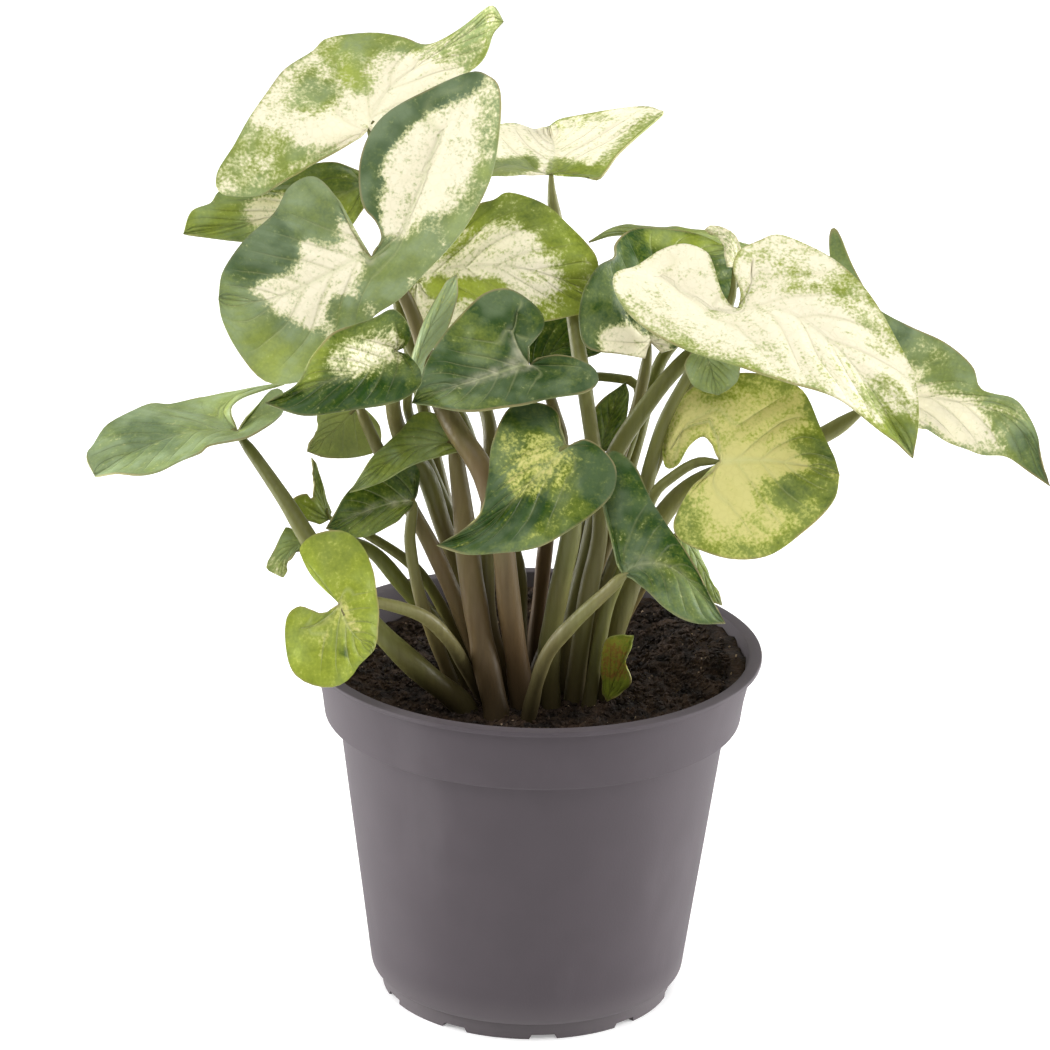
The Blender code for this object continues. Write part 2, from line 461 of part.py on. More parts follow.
def make_stalk(name, leaf, material):
    """A leaf stalk: a tapered tube that is widest at its foot, with a level foot."""
    path = evenly(stalk_path(leaf), STALK_RINGS)
    top_radius, middle_radius, foot_radius = (r * MM for r in leaf["radii"])
    bm = bmesh.new()
    rings = []
    side = Vector((1, 0, 0))
    for i, centre in enumerate(path):
        if i == 0:
            ahead = Vector((0, 0, 1))
        elif i == STALK_RINGS:
            ahead = (path[i] - path[i - 1]).normalized()
        else:
            ahead = (path[i + 1] - path[i - 1]).normalized()
        side = (side - ahead * side.dot(ahead)).normalized()
        other = ahead.cross(side)
        share = 2 * i / STALK_RINGS
        if share < 1:
            radius = foot_radius + (middle_radius - foot_radius) * share
        else:
            radius = middle_radius + (top_radius - middle_radius) * (share - 1)
        if i == STALK_RINGS:
            radius = STALK_END_RADIUS
        ring = []
        for k in range(STALK_SIDES):
            angle = tau * k / STALK_SIDES
            ring.append(bm.verts.new(centre + (side * cos(angle) + other * sin(angle)) * radius))
        rings.append(ring)
    for low, high in zip(rings, rings[1:]):
        for k in range(STALK_SIDES):
            n = (k + 1) % STALK_SIDES
            bm.faces.new((low[k], low[n], high[n], high[k]))
    bm.faces.new(rings[0][::-1])
    bm.faces.new(rings[-1])
    return make_object(name, bm, material, smooth_angle=60)


def body_radius(height):
    """Outer radius of the pot's body at a height below its collar."""
    low, high = FOOT_HEIGHT, POT_HEIGHT - BAND_HEIGHT
    share = (height - low) / (high - low)
    return BODY_LOW_RADIUS + (BODY_TOP_RADIUS - BODY_LOW_RADIUS) * share


def inner_profile():
    """(radius, height) points of the pot's inside, from its floor up to its lip."""
    floor = FOOT_HEIGHT + FLOOR_THICK
    step = POT_HEIGHT - BAND_HEIGHT
    return [
        (body_radius(floor) - WALL - EDGE_ROUND, floor),
        (body_radius(floor + EDGE_ROUND) - WALL, floor + EDGE_ROUND),
        (BODY_TOP_RADIUS - WALL, step + WALL),
        (BAND_LOW_RADIUS - WALL, step + WALL),
        (BAND_TOP_RADIUS - WALL, POT_HEIGHT),
    ]


def revolve(profile, steps):
    """A bmesh of rings: one for each (radius, height), joined by quads in the profile's order."""
    bm = bmesh.new()
    rings = []
    for radius, height in profile:
        ring = []
        for k in range(steps):
            angle = tau * k / steps + radians(POT_TURN)
            ring.append(bm.verts.new((radius * cos(angle), radius * sin(angle), height)))
        rings.append(ring)
    for low, high in zip(rings, rings[1:]):
        for k in range(steps):
            n = (k + 1) % steps
            bm.faces.new((low[k], low[n], high[n], high[k]))
    return bm, rings


def make_pot(material):
    """The pot: one moulding with a lip, a stepped collar, a ring of ten feet and drain holes."""
    steps = FOOT_COUNT * STEPS_PER_FOOT
    step = POT_HEIGHT - BAND_HEIGHT
    diagonal = EDGE_ROUND * (1 - sqrt(0.5))
    underside = [(DRAIN_INNER, FOOT_HEIGHT), (DRAIN_OUTER, FOOT_HEIGHT),
                 (FOOT_INNER, FOOT_HEIGHT), (FOOT_INNER, NOTCH_DEPTH),
                 (FOOT_OUTER, NOTCH_DEPTH), (FOOT_OUTER, FOOT_HEIGHT)]
    outside = [
        (BODY_LOW_RADIUS - diagonal, FOOT_HEIGHT + diagonal),
        (body_radius(FOOT_HEIGHT + EDGE_ROUND), FOOT_HEIGHT + EDGE_ROUND),
        (BODY_TOP_RADIUS, step),
        (BAND_LOW_RADIUS, step),
        (BAND_TOP_RADIUS, POT_HEIGHT - LIP_THICK),
        (RIM_RADIUS, POT_HEIGHT - LIP_THICK),
        (RIM_RADIUS, POT_HEIGHT),
    ]
    floor = FOOT_HEIGHT + FLOOR_THICK
    inside = inner_profile()[::-1] + [(DRAIN_OUTER, floor), (DRAIN_INNER, floor)]
    bm, rings = revolve(underside + outside + inside, steps)
    bm.faces.new(rings[0][::-1])
    bm.faces.new(rings[-1])

    feet = []
    for k in range(steps):
        if k % STEPS_PER_FOOT != STEPS_PER_FOOT - 1:
            corners = {rings[3][k], rings[3][(k + 1) % steps], rings[4][k], rings[4][(k + 1) % steps]}
            feet += [f for f in rings[3][k].link_faces if set(f.verts) == corners]
    pushed = bmesh.ops.extrude_face_region(bm, geom=feet)["geom"]
    bmesh.ops.delete(bm, geom=feet, context="FACES_ONLY")
    moved = [v for v in pushed if isinstance(v, bmesh.types.BMVert)]
    bmesh.ops.translate(bm, verts=moved, vec=(0, 0, -NOTCH_DEPTH))

    for k in range(0, steps, STEPS_PER_FOOT):
        n = (k + 1) % steps
        below = [rings[0][k], rings[0][n], rings[1][n], rings[1][k]]
        above = [rings[-1][k], rings[-1][n], rings[-2][n], rings[-2][k]]
        for corners in (below, above):
            hole = [f for f in corners[0].link_faces if set(f.verts) == set(corners)]
            bmesh.ops.delete(bm, geom=hole, context="FACES_ONLY")
        for a in range(4):
            b = (a + 1) % 4
            bm.faces.new((below[a], below[b], above[b], above[a]))
    bmesh.ops.recalc_face_normals(bm, faces=bm.faces)
    return make_object("pot", bm, material, smooth_angle=35)


def make_soil(material):
    """The soil ball: fills the pot, a little clear of its wall and floor."""
    profile = []
    for radius, height in inner_profile()[:-1]:
        profile.append((radius - GAP, height + GAP))
    ledge_radius, ledge = profile[-1]
    lean = (BAND_TOP_RADIUS - BAND_LOW_RADIUS) / (BAND_HEIGHT - WALL)
    profile.append((ledge_radius + lean * (SOIL_TOP - ledge), SOIL_TOP))
    bm, rings = revolve(profile, FOOT_COUNT * STEPS_PER_FOOT)
    bm.faces.new(rings[0][::-1])
    bm.faces.new(rings[-1])
    return make_object("soil", bm, material, smooth_angle=35)


def make_material(name, colour, roughness):
    """A plain material."""
    material = bpy.data.materials.new(name)
    material.use_nodes = True
    shader = material.node_tree.nodes["Principled BSDF"]
    shader.inputs["Base Color"].default_value = (*colour, 1.0)
    shader.inputs["Roughness"].default_value = roughness
    return material


def centre_on_footprint(objects):
    """Move everything so that the middle of the part's outline on the floor is the origin."""
    corners = [v.co for obj in objects for v in obj.data.vertices]
    middle_x = (min(v.x for v in corners) + max(v.x for v in corners)) / 2
    middle_y = (min(v.y for v in corners) + max(v.y for v in corners)) / 2
    for obj in objects:
        for vertex in obj.data.vertices:
            vertex.co.x -= middle_x
            vertex.co.y -= middle_y


def main():
    """Build the whole plant."""
    for obj in list(bpy.data.objects):
        bpy.data.objects.remove(obj, do_unlink=True)
    plastic = make_material("grey_plastic", (0.115, 0.100, 0.112), 0.5)
    peat = make_material("peat", (0.020, 0.014, 0.010), 0.95)
    stalk = make_material("stalk_green", (0.200, 0.230, 0.070), 0.5)
    cream = make_material("blade_cream", (0.640, 0.650, 0.360), 0.45)
    green = make_material("blade_green", (0.110, 0.230, 0.070), 0.4)
    bract = make_material("bract_lime", (0.350, 0.330, 0.080), 0.5)
    cream_leaves = {"top_left", "front_left", "large_right", "top_centre", "cream_centre",
                    "lime_right", "far_right", "pale_curl"}

    objects = [make_pot(plastic), make_soil(peat), make_blade("base_bract", BRACT, bract)]
    for name, leaf in LEAVES.items():
        colour = cream if name in cream_leaves else green
        objects.append(make_blade(f"blade_{name}", leaf, colour))
        objects.append(make_stalk(f"stalk_{name}", leaf, stalk))
    centre_on_footprint(objects)


main()
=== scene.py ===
"""Looks of the potted syngonium: veined and variegated blades, fleshy stalks, crumbly soil, the
moulded nursery pot and the studio it stands in.

Metres, +Z up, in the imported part's frame. Laid out as a Blender add-on and run as a script.
"""

from math import atan2, ceil, cos, degrees, hypot, pi, radians, sin, tau

import bmesh
import bpy
import numpy as np
from bpy.props import FloatProperty, FloatVectorProperty, IntProperty, PointerProperty
from mathutils import Matrix, Vector, noise


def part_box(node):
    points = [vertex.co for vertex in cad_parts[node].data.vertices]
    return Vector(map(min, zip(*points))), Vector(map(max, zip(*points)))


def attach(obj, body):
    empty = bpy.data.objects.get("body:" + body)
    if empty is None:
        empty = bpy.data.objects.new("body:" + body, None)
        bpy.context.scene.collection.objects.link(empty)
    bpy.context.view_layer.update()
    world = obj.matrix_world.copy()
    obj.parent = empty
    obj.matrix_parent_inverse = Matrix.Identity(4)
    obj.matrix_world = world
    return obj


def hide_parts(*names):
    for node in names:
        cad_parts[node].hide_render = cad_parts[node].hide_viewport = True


bl_info = {
    "name": "Potted syngonium",
    "version": (1, 0, 0),
    "blender": (4, 5, 0),
    "location": "3D View > Sidebar > Syngonium",
    "description": "Dresses the plant's solids with leaves, stalks, soil and a plastic pot",
    "category": "Object",
}

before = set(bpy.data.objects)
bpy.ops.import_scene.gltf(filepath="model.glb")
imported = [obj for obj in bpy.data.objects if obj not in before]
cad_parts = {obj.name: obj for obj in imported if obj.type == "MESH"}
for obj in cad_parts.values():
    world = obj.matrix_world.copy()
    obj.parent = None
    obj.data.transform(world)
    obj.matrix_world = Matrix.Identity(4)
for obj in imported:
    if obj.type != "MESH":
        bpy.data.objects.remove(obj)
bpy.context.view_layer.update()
POT_LOW, POT_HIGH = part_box("pot")
AXIS = Vector(((POT_LOW.x + POT_HIGH.x) / 2, (POT_LOW.y + POT_HIGH.y) / 2, 0.0))

MM = 0.001
RIM_RADIUS = (POT_HIGH.x - POT_LOW.x) / 2
POT_HEIGHT = POT_HIGH.z
LIP_THICK = 1.3 * MM
BAND_TOP_RADIUS = 57.6 * MM
BAND_LOW_RADIUS = 54.9 * MM
BAND_HEIGHT = 17.9 * MM
BODY_TOP_RADIUS = 51.2 * MM
BODY_LOW_RADIUS = 41.4 * MM
WALL = 1.2 * MM
FOOT_HEIGHT = 4.6 * MM          # of the ring under the floor
NOTCH_DEPTH = 1.2 * MM          # of the gaps that part its lower edge into feet
FLOOR_THICK = 1.6 * MM
EDGE_ROUND = 3.0 * MM
FOOT_OUTER = 38.6 * MM
FOOT_INNER = 34.6 * MM
FOOT_COUNT = 10
FOOT_SHARE = 0.75               # of each tenth of the ring; the rest is the gap
FOOT_SLOPE = 1.0                # degrees that a foot's ends lean in
POT_TURN = -6.5                 # degrees
DRAIN_OUTER = 27.0 * MM
DRAIN_INNER = 21.0 * MM
STEP_HEIGHT = POT_HEIGHT - BAND_HEIGHT          # where the collar steps out
FLOOR_TOP = FOOT_HEIGHT + FLOOR_THICK
SOIL_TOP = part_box("soil")[1].z

# Leaf points are (across, height, back) in millimetres about the pot's axis: where the point shows,
# seen from EYE, on the upright plane through that axis, and how far behind the plane it lies.
EYE = Vector((-3.1, -1224.6, 571.3))

# Each leaf has its midrib from stalk to tip, its left and right margins from the notch at the stalk
# to near the tip, the number of the margin point that is level with the stalk on each side, and its
# stalk: its foot on the soil (x, y), its radii at the top, half way and at the foot, and its points
# from below the blade downwards. A lobe that bends round its notch has a rib too, from the stalk out.
LEAVES = {
    "top_left": dict(
        midrib=[(-45, 235, 25), (-38, 247, 37), (-30, 254, 43), (-20, 260.5, 44),
                (-14, 265.5, 40), (-11.5, 263.5, 36)],
        left=[(-47, 232.5, 22), (-53, 228.5, 19), (-60, 224.5, 17), (-68, 219.5, 13),
              (-73, 216.5, 11), (-82, 217, 9), (-83.5, 222, 12), (-79, 230, 18),
              (-75.5, 236.5, 24), (-70.5, 244, 33), (-66.3, 249.7, 39), (-59.5, 254.5, 46),
              (-55.5, 258.3, 50), (-45, 259.8, 53), (-36.5, 258.6, 51), (-31.5, 256.7, 48),
              (-27, 258.5, 47), (-21, 262.5, 46), (-16.5, 266, 43), (-14, 267.5, 40)],
        right=[(-43, 233, 25), (-38, 231, 24), (-30, 238, 30), (-22, 248, 36), (-16.5, 253.5, 38),
               (-14, 260, 38)],
        level=(10, 1), foot=(-4, 8), radii=(1.5, 1.7, 2.2),
        stalk=[(-41, 222, 22), (-38, 205, 15), (-36, 185, 5), (-29, 169, 4), (-21, 160, 4),
               (-17, 150, 5), (-10, 132, 8), (-5, 118, 9), (-4, 102, 8.5)]),
    "front_left": dict(
        midrib=[(-44, 201, -12), (-56, 196, -17), (-70, 189, -23), (-83, 189, -27)],
        left=[(-42.8, 203.5, -12), (-41.2, 206, -11), (-43, 210.5, -9), (-46, 214, -8),
              (-47.3, 220, -5), (-47, 227, -2), (-44.5, 234, 2), (-40, 239.5, 5), (-32, 244.5, 8),
              (-20, 250.2, 10), (-15, 249.5, 9), (-12, 246, 6), (-11.8, 236, 0),
              (-14, 222, -6), (-21, 208, -12), (-32, 195, -19), (-37, 189.5, -22),
              (-42, 186, -25), (-46, 182, -28), (-53, 172, -32), (-62, 167, -35),
              (-71, 167, -35), (-78, 175, -32), (-82, 183, -29)],
        left_rib=[(-38, 208, -10), (-32, 220, -4), (-25, 233, 2)],
        right=[(-45, 202.5, -12), (-48.3, 207, -10), (-50.5, 211, -8), (-54, 218, -4),
               (-59, 222, -2), (-65, 219, -4), (-69, 212, -9), (-77, 204, -15),
               (-82, 196, -22)],
        level=(17, 5), foot=(-2.5, -19.5), radii=(1.6, 3.0, 3.2),
        stalk=[(-36, 192, -8), (-31, 180, -6), (-27.5, 167, -9), (-21.5, 155, -21),
               (-14, 143, -27), (-9, 125, -27), (-6.5, 105, -24)]),
    "curled_left": dict(
        midrib=[(-37, 176, -24), (-42, 172, -31), (-48, 170, -36), (-59, 166, -41), (-71, 161, -46)],
        left=[(-34, 175, -26), (-31, 171, -30), (-31, 167, -34), (-35, 163, -37),
              (-42, 161, -41), (-52, 159, -44), (-62, 158, -47)],
        right=[(-35, 177, -25), (-33.6, 180, -26), (-34.5, 183.5, -27.5), (-38, 187, -29.5),
               (-42.5, 185, -32), (-48, 183, -34), (-54, 180, -37), (-59, 174, -41), (-62, 167, -44)],
        level=(3, 5), foot=(-9, -3), radii=(1.7, 2.5, 2.4),
        stalk=[(-38, 162, -18), (-35, 151, -10), (-29, 142, -6), (-24, 127, -5), (-17, 108, -3)]),
    "far_left": dict(
        midrib=[(-78, 153, -4), (-90, 153, -3), (-104, 148, -6), (-115, 139.8, -12)],
        left=[(-76, 157, -2), (-73, 160.5, 2), (-69.3, 164.5, 6), (-66.5, 164.5, 6),
              (-66, 160, 1), (-68, 157, -4), (-71.5, 154, -9), (-75.5, 151.3, -14),
              (-80, 150, -17), (-86, 149, -21), (-88, 147, -22), (-93, 144.3, -23),
              (-98, 142, -23), (-104, 140.6, -22), (-110, 140.6, -18)],
        right=[(-79.5, 157.5, 0), (-79.3, 160, 4), (-76.5, 162.5, 8), (-70, 165.2, 12),
               (-66, 166.7, 15), (-72, 165.8, 16), (-80, 163.8, 17), (-88, 161.7, 16),
               (-95, 160.3, 14), (-100, 160.3, 12), (-105, 157.8, 9), (-112, 154, 3),
               (-115.5, 148.5, -3), (-117.3, 145, -8)],
        right_rib=[(-83, 158.5, 7), (-79, 162.5, 12), (-74, 164.6, 13)],
        level=(8, 7), foot=(-18, -21), radii=(1.5, 2.6, 3.4),
        stalk=[(-66.6, 136, -16), (-59.5, 124, -22), (-52, 112, -27), (-42, 100, -29),
               (-30, 88, -27)]),
    "low_left": dict(
        midrib=[(-51, 106, -50), (-48.5, 99, -53), (-42, 93.3, -52)],
        left=[(-52, 107.5, -48), (-55, 110.5, -46), (-58.5, 114, -44), (-61, 118.5, -42),
              (-61.7, 121.5, -41), (-58.5, 125, -40), (-53, 126.6, -39), (-48.5, 125.5, -40),
              (-45, 121.5, -41), (-42.5, 115, -43), (-41.2, 107, -46), (-41, 99, -49)],
        right=[(-53, 104.3, -50), (-55.5, 103.2, -51), (-58, 104, -51), (-61.5, 105.2, -51),
               (-64.5, 103, -52), (-65.5, 98.5, -53), (-64.8, 91, -55), (-62.5, 85.5, -58),
               (-57.5, 82.8, -59), (-52, 82.7, -59), (-48, 85.5, -57), (-45, 90.5, -54)],
        right_rib=[(-57.5, 100.5, -52.2), (-61, 98.7, -53)],
        level=(9, 7), foot=(-13, -14.5), radii=(1.3, 1.8, 1.9),
        stalk=[(-47, 107, -46), (-40, 106.5, -42), (-29, 103, -36), (-22, 96, -30),
               (-18, 89, -22)]),
    "dark_centre": dict(
        midrib=[(-3, 173, -16), (-12, 170, -20), (-22, 167, -25), (-33, 162, -31)],
        left=[(-1, 175, -16), (5, 176, -17), (12, 174, -19), (15, 170, -22), (12, 166, -25),
              (3, 164, -28), (-6, 162, -30), (-16, 160, -32), (-26, 161, -32)],
        right=[(-3, 178, -15), (0.5, 183, -12), (0, 187, -11), (-4, 191, -9), (-9, 193.5, -9),
               (-15, 192, -11), (-21, 186, -15), (-27, 178, -20), (-30, 171, -27)],
        right_rib=[(-7, 181, -13), (-7, 187, -11)],
        level=(5, 6), foot=(0, 12.5), radii=(1.2, 2.0, 2.2),
        stalk=[(1, 168, -8), (4, 160, -3), (6, 150, 1), (3, 130, 10)]),
    "front_centre": dict(
        midrib=[(7, 151, -30), (-1, 143, -36.5), (-9, 133, -43.5), (-17, 126, -48), (-26, 123, -50)],
        left=[(9, 152, -29), (12, 153, -28), (16, 151, -29), (20, 146, -32), (20, 140, -35),
              (17, 135, -38), (10, 129, -43), (0, 123, -48), (-12, 121, -51), (-20, 121, -52)],
        right=[(6, 155, -27), (4, 161, -21), (-2, 163, -20), (-8, 161, -22), (-12, 152, -31),
               (-13, 142, -38), (-15, 132, -45), (-20, 127, -48)],
        level=(6, 4), foot=(4.5, -17), radii=(1.7, 2.7, 2.8),
        stalk=[(9, 140, -25), (9, 128, -23), (6, 110, -20), (4, 95, -18)]),
    "hanging_right": dict(
        midrib=[(23, 116, -44), (34, 119, -42), (42, 113, -44), (50, 103, -47)],
        left=[(21, 119, -43), (19, 127, -38), (17, 136, -31), (16, 144, -25), (19, 150, -20),
              (25, 146, -22), (29, 138, -28), (34, 130, -34), (41, 120, -40), (45, 112, -44)],
        right=[(25, 115, -45), (29, 112, -47), (34, 107, -50), (42, 103, -50)],
        level=(5, 0), foot=(-1, -26.5), radii=(1.5, 1.9, 2.0),
        stalk=[(18.5, 111, -41.3), (10, 102, -38), (3, 92, -33)]),
    "lime_right": dict(
        midrib=[(47, 148, -18), (57, 149, -17), (68, 148, -18), (78.2, 145, -22)],
        left=[(45, 152, -17), (42.5, 154.5, -15), (39, 152, -13), (36, 146.5, -12),
              (33, 146, -11), (32, 151, -10), (33, 158, -8), (38, 167, -6),
              (46, 171, -4), (56, 172, -4), (67, 168.5, -6), (72, 159, -10), (76, 151, -16)],
        left_rib=[(43, 158, -13), (37, 156, -11), (34.5, 151, -11)],
        right=[(45.5, 145.5, -20), (40.5, 141.5, -21), (37.5, 136, -23), (35.5, 131, -26),
               (36.5, 127, -28), (41, 124, -30), (51, 121, -32), (61, 122.5, -32),
               (70, 129.5, -30), (77, 138, -26)],
        level=(9, 6), foot=(14.5, -18), radii=(1.2, 1.6, 2.0),
        stalk=[(41, 147.5, -14), (35, 143.5, -15), (30, 138, -16), (26, 125, -16), (19, 107, -16)]),
    "large_right": dict(
        midrib=[(50, 189.5, -3), (58, 190.5, -5), (66, 187, -8), (75, 180, -14), (84, 170, -22),
                (97, 150, -34)],
        left=[(51, 192, -1), (50.3, 195, 1), (49, 198.5, 3), (48.7, 202, 6), (50.5, 205.5, 10),
              (55, 207.8, 14), (60, 209.3, 16), (68, 206.3, 13), (76, 202, 7), (83, 195, 0),
              (90, 184, -8), (96, 173, -18), (98, 161, -28)],
        left_rib=[(53, 196, 2), (54, 202, 8)],
        right=[(48, 190.5, -3), (46, 193, -1), (44.7, 197, 2), (43.5, 201, 5), (41.5, 204.5, 8),
               (36, 206.5, 10), (30, 204.8, 8), (24, 200.5, 3), (18.3, 198, -2), (19.5, 191.5, -8),
               (26, 184, -14), (37, 178, -20), (50, 174, -24), (64, 170, -28), (78, 165, -31),
               (90, 156, -34)],
        right_rib=[(44, 190, -4), (37, 194, 0), (30, 197, 1)],
        level=(7, 12), foot=(6, -9.5), radii=(2.0, 2.3, 2.5),
        stalk=[(46, 183.5, 1), (40, 178, 0), (35, 173, -2), (29, 165, -4), (20, 150, -6),
               (16, 135, -7), (13, 120, -8), (10, 105, -9)]),
    "dark_right": dict(
        midrib=[(28, 180, 6), (26, 190, 10), (32, 200, 20), (47, 205.5, 32)],
        left=[(27, 175.5, 5), (20, 176.5, 0), (12, 178, -2), (9.8, 184, -2), (10, 191, -1),
              (11.5, 196, 2), (14.5, 200.3, 6), (18.3, 202.5, 10), (18, 205.5, 14),
              (20, 208.3, 20), (24, 210.5, 26), (31, 210.3, 29), (40, 208.8, 31)],
        right=[(31, 177, 5), (37, 180, 8), (45, 187, 18), (50, 196, 28)],
        level=(5, 1), foot=(5, -1.5), radii=(1.5, 1.7, 2.1),
        stalk=[(27, 173, 5), (25, 162, 5), (22, 152, 4), (17, 135, 4), (12, 118, 3), (8, 100, 1)]),
    "far_right": dict(
        midrib=[(84, 163, 16), (98, 167, 14), (112, 166, 8), (124, 160, 0), (133, 143, -10)],
        left=[(82, 168, 20), (78, 185, 28), (74, 200, 33), (72.8, 208, 36), (73.2, 211.3, 37),
              (74.8, 211, 37), (77, 206, 34), (80, 200, 31), (85, 191.6, 27), (88, 189, 26),
              (95, 185.5, 24), (104, 181.5, 20), (111, 175.5, 14), (114, 168.5, 10),
              (122, 167, 6), (126.3, 162.3, 2), (129, 156.5, -2), (130.2, 150, -6)],
        right=[(86, 160, 12), (97, 158.7, 8), (102, 157.2, 4), (106, 154.5, 1), (111, 152.6, -2),
               (115, 151.4, -3), (121, 151, -4), (127, 147, -7)],
        level=(10, 1), foot=(18, -9), radii=(2.2, 2.6, 3.4),
        stalk=[(73, 155.5, 14), (56, 148, 8), (40, 141, 1), (31, 130, -3), (25, 114, -6),
               (20, 98, -8)]),
    "top_centre": dict(
        midrib=[(1.5, 224, 22), (1, 231, 40), (0.8, 236.5, 60)],
        left=[(-1, 223.8, 21.5), (-4, 225.2, 22.5), (-8, 226, 22), (-12, 225, 19), (-16, 223, 14),
              (-19, 227, 22), (-19, 233, 36), (-12, 236.8, 50), (-6, 236.4, 55), (-2, 235.8, 58)],
        right=[(3.5, 225, 22.5), (8, 224.3, 19), (13, 223, 14), (15.5, 225.5, 17), (18, 229, 22),
               (23, 234, 34), (29.3, 240.5, 46), (28, 241.6, 49), (24, 242, 51), (13, 240.7, 57),
               (5, 239, 60), (2, 237.3, 60)],
        level=(6, 5), foot=(10.5, -14.5), radii=(1.8, 2.1, 2.6),
        stalk=[(2.2, 216, 19), (6, 197, 14), (8, 187, 10), (9.5, 178, 4), (12, 164, -6),
               (15, 145, -10), (16.5, 128, -14), (13.5, 108, -14.5)]),
    "cream_centre": dict(
        midrib=[(-32, 196, 8), (-20, 199, 4), (-8, 199, 2), (4, 196, 5), (14, 192, 10)],
        left=[(-30, 200, 9), (-26, 207, 12), (-18, 215, 15), (-13, 217, 17), (-9, 219, 17),
              (0, 216, 14), (6, 211, 12), (11, 206, 11), (14, 201, 10)],
        right=[(-34.5, 192, 7), (-33, 186, 5), (-26, 181, 2), (-14, 184, -3), (-4, 184, -4),
               (6, 186, 3), (12, 188, 8)],
        level=(2, 2), foot=(-5.5, -13), radii=(1.4, 2.0, 2.2),
        stalk=[(-28, 188, 10), (-19, 173, 5), (-13, 157, -5), (-12.5, 142, -12), (-13, 125, -15),
               (-11.5, 100, -15)]),
    "back_left": dict(
        midrib=[(-46, 220, 32), (-60, 214, 28), (-76, 209, 22), (-92, 206, 16)],
        left=[(-44, 217, 31), (-50, 208, 27), (-56, 203, 24), (-64, 202, 21), (-76, 204.5, 17),
              (-85, 205, 16)],
        right=[(-45, 222, 34), (-48, 224, 36), (-54, 226, 37), (-62, 224, 36), (-72, 219, 30),
               (-82, 218, 24), (-85, 214.5, 21), (-90, 212, 18)],
        level=(1, 3), foot=(-10.5, 3), radii=(1.4, 1.7, 2.0),
        stalk=[(-42, 214, 36), (-39.5, 205, 30), (-37, 190, 20), (-31, 165, 14), (-25, 140, 14),
               (-18, 112, 10)]),
    "edge_right": dict(
        midrib=[(54, 205, 44), (46, 208, 45), (36, 209, 44), (27, 209, 43), (19, 209.3, 41),
                (11.5, 206.3, 38)],
        left=[(54, 203, 37), (46, 206.5, 37), (36, 207.5, 37), (27, 208, 37), (19, 208.5, 37.5)],
        right=[(54, 205.5, 54), (46, 209, 56), (38, 210.4, 56), (34, 211, 55), (30, 210.2, 53),
               (25, 211, 50), (21, 211.3, 47), (16, 209.3, 43)],
        level=(0, 1), foot=(4.5, 10), radii=(1.2, 2.0, 1.9),
        stalk=[(50, 197, 40), (40, 186, 34), (32, 177, 29), (28, 166, 25), (25, 152, 21),
               (17, 120, 15)]),
    "dark_left": dict(
        midrib=[(-32, 135, -18), (-42, 133, -24), (-55, 127, -32)],
        left=[(-33, 133, -19), (-37, 129, -23), (-44, 125, -29), (-50, 125, -32)],
        right=[(-31, 138, -16), (-31, 144, -12), (-36, 147, -12), (-44, 143, -18),
               (-50, 136, -26)],
        level=(1, 2), foot=(-20, -13), radii=(1.4, 1.7, 1.9),
        stalk=[(-33, 124, -19), (-30, 108, -19), (-25, 94, -16)]),
    "twisted_left": dict(
        midrib=[(-54, 129.5, -2), (-56.5, 136, 0), (-58.8, 146.5, 2)],
        left=[(-56.5, 128, -6), (-62, 130, -8), (-63.5, 134, -7), (-62.8, 135.5, -6),
              (-60, 136.5, -4), (-58.5, 134.5, -3), (-58.3, 140, 0)],
        right=[(-53.8, 131.5, 0), (-55.6, 138, 1), (-57.3, 144, 2)],
        level=(5, 0), foot=(-16, 0.5), radii=(1.1, 1.5, 1.7),
        stalk=[(-45, 126, -3), (-31, 116, -4), (-22, 101, -2)]),
    "small_low_left": dict(
        midrib=[(-61, 123, -14), (-64.5, 121, -15), (-66.5, 117, -17), (-66, 113, -18)],
        left=[(-60.5, 121.5, -15), (-63, 120, -16), (-65, 117.5, -17), (-65.3, 114.5, -18)],
        right=[(-62.5, 126, -12), (-65.5, 127, -12), (-67.5, 122.5, -14), (-70.3, 117, -17),
               (-70, 115, -17.5), (-67.5, 113.7, -18)],
        level=(1, 1), foot=(-17, -6.5), radii=(1.1, 2.2, 2.3),
        stalk=[(-52, 124, -13), (-43, 121, -14), (-35, 112, -13), (-26, 101, -11)]),
    "lime_left": dict(
        midrib=[(-47, 161, -4), (-52, 156, -5), (-60, 148, -8)],
        left=[(-49, 162, -3), (-55, 161.5, -4), (-57.5, 158, -5), (-57.3, 154.5, -6),
              (-59, 151, -8)],
        right=[(-45, 160, -2), (-41, 155, 2), (-42, 149, 2), (-47, 146.8, -3), (-54, 146.4, -7)],
        level=(1, 1), foot=(-11.5, -9.5), radii=(1.4, 2.2, 2.2),
        stalk=[(-46, 159, -8), (-41, 148, -9), (-34, 135, -10), (-27, 122, -12), (-20, 106, -12)]),
    "folded_centre": dict(
        midrib=[(-22, 151, -16), (-32, 150, -22), (-41, 144, -28), (-49, 137, -34)],
        left=[(-20, 149, -17), (-28, 147, -23), (-36, 143, -29), (-43, 139, -32)],
        right=[(-22, 155, -14), (-26, 159, -12), (-32, 159, -14), (-37, 153, -20),
               (-43, 147, -27)],
        level=(0, 2), foot=(-9.5, -24), radii=(2.0, 3.3, 3.4),
        stalk=[(-20, 138, -17), (-17, 115, -21), (-13.5, 95, -23)]),
    "young_roll": dict(
        midrib=[(-33, 167, -20), (-31, 177, -18), (-27, 187, -14), (-22, 197, -10)],
        left=[(-35, 169, -19), (-33, 176, -17), (-29, 187, -13), (-25, 194, -10)],
        right=[(-31, 169, -18), (-29, 175, -16), (-24, 183, -12), (-22, 190, -10)],
        level=(0, 0), foot=(-4.5, 1), radii=(1.2, 1.5, 1.8),
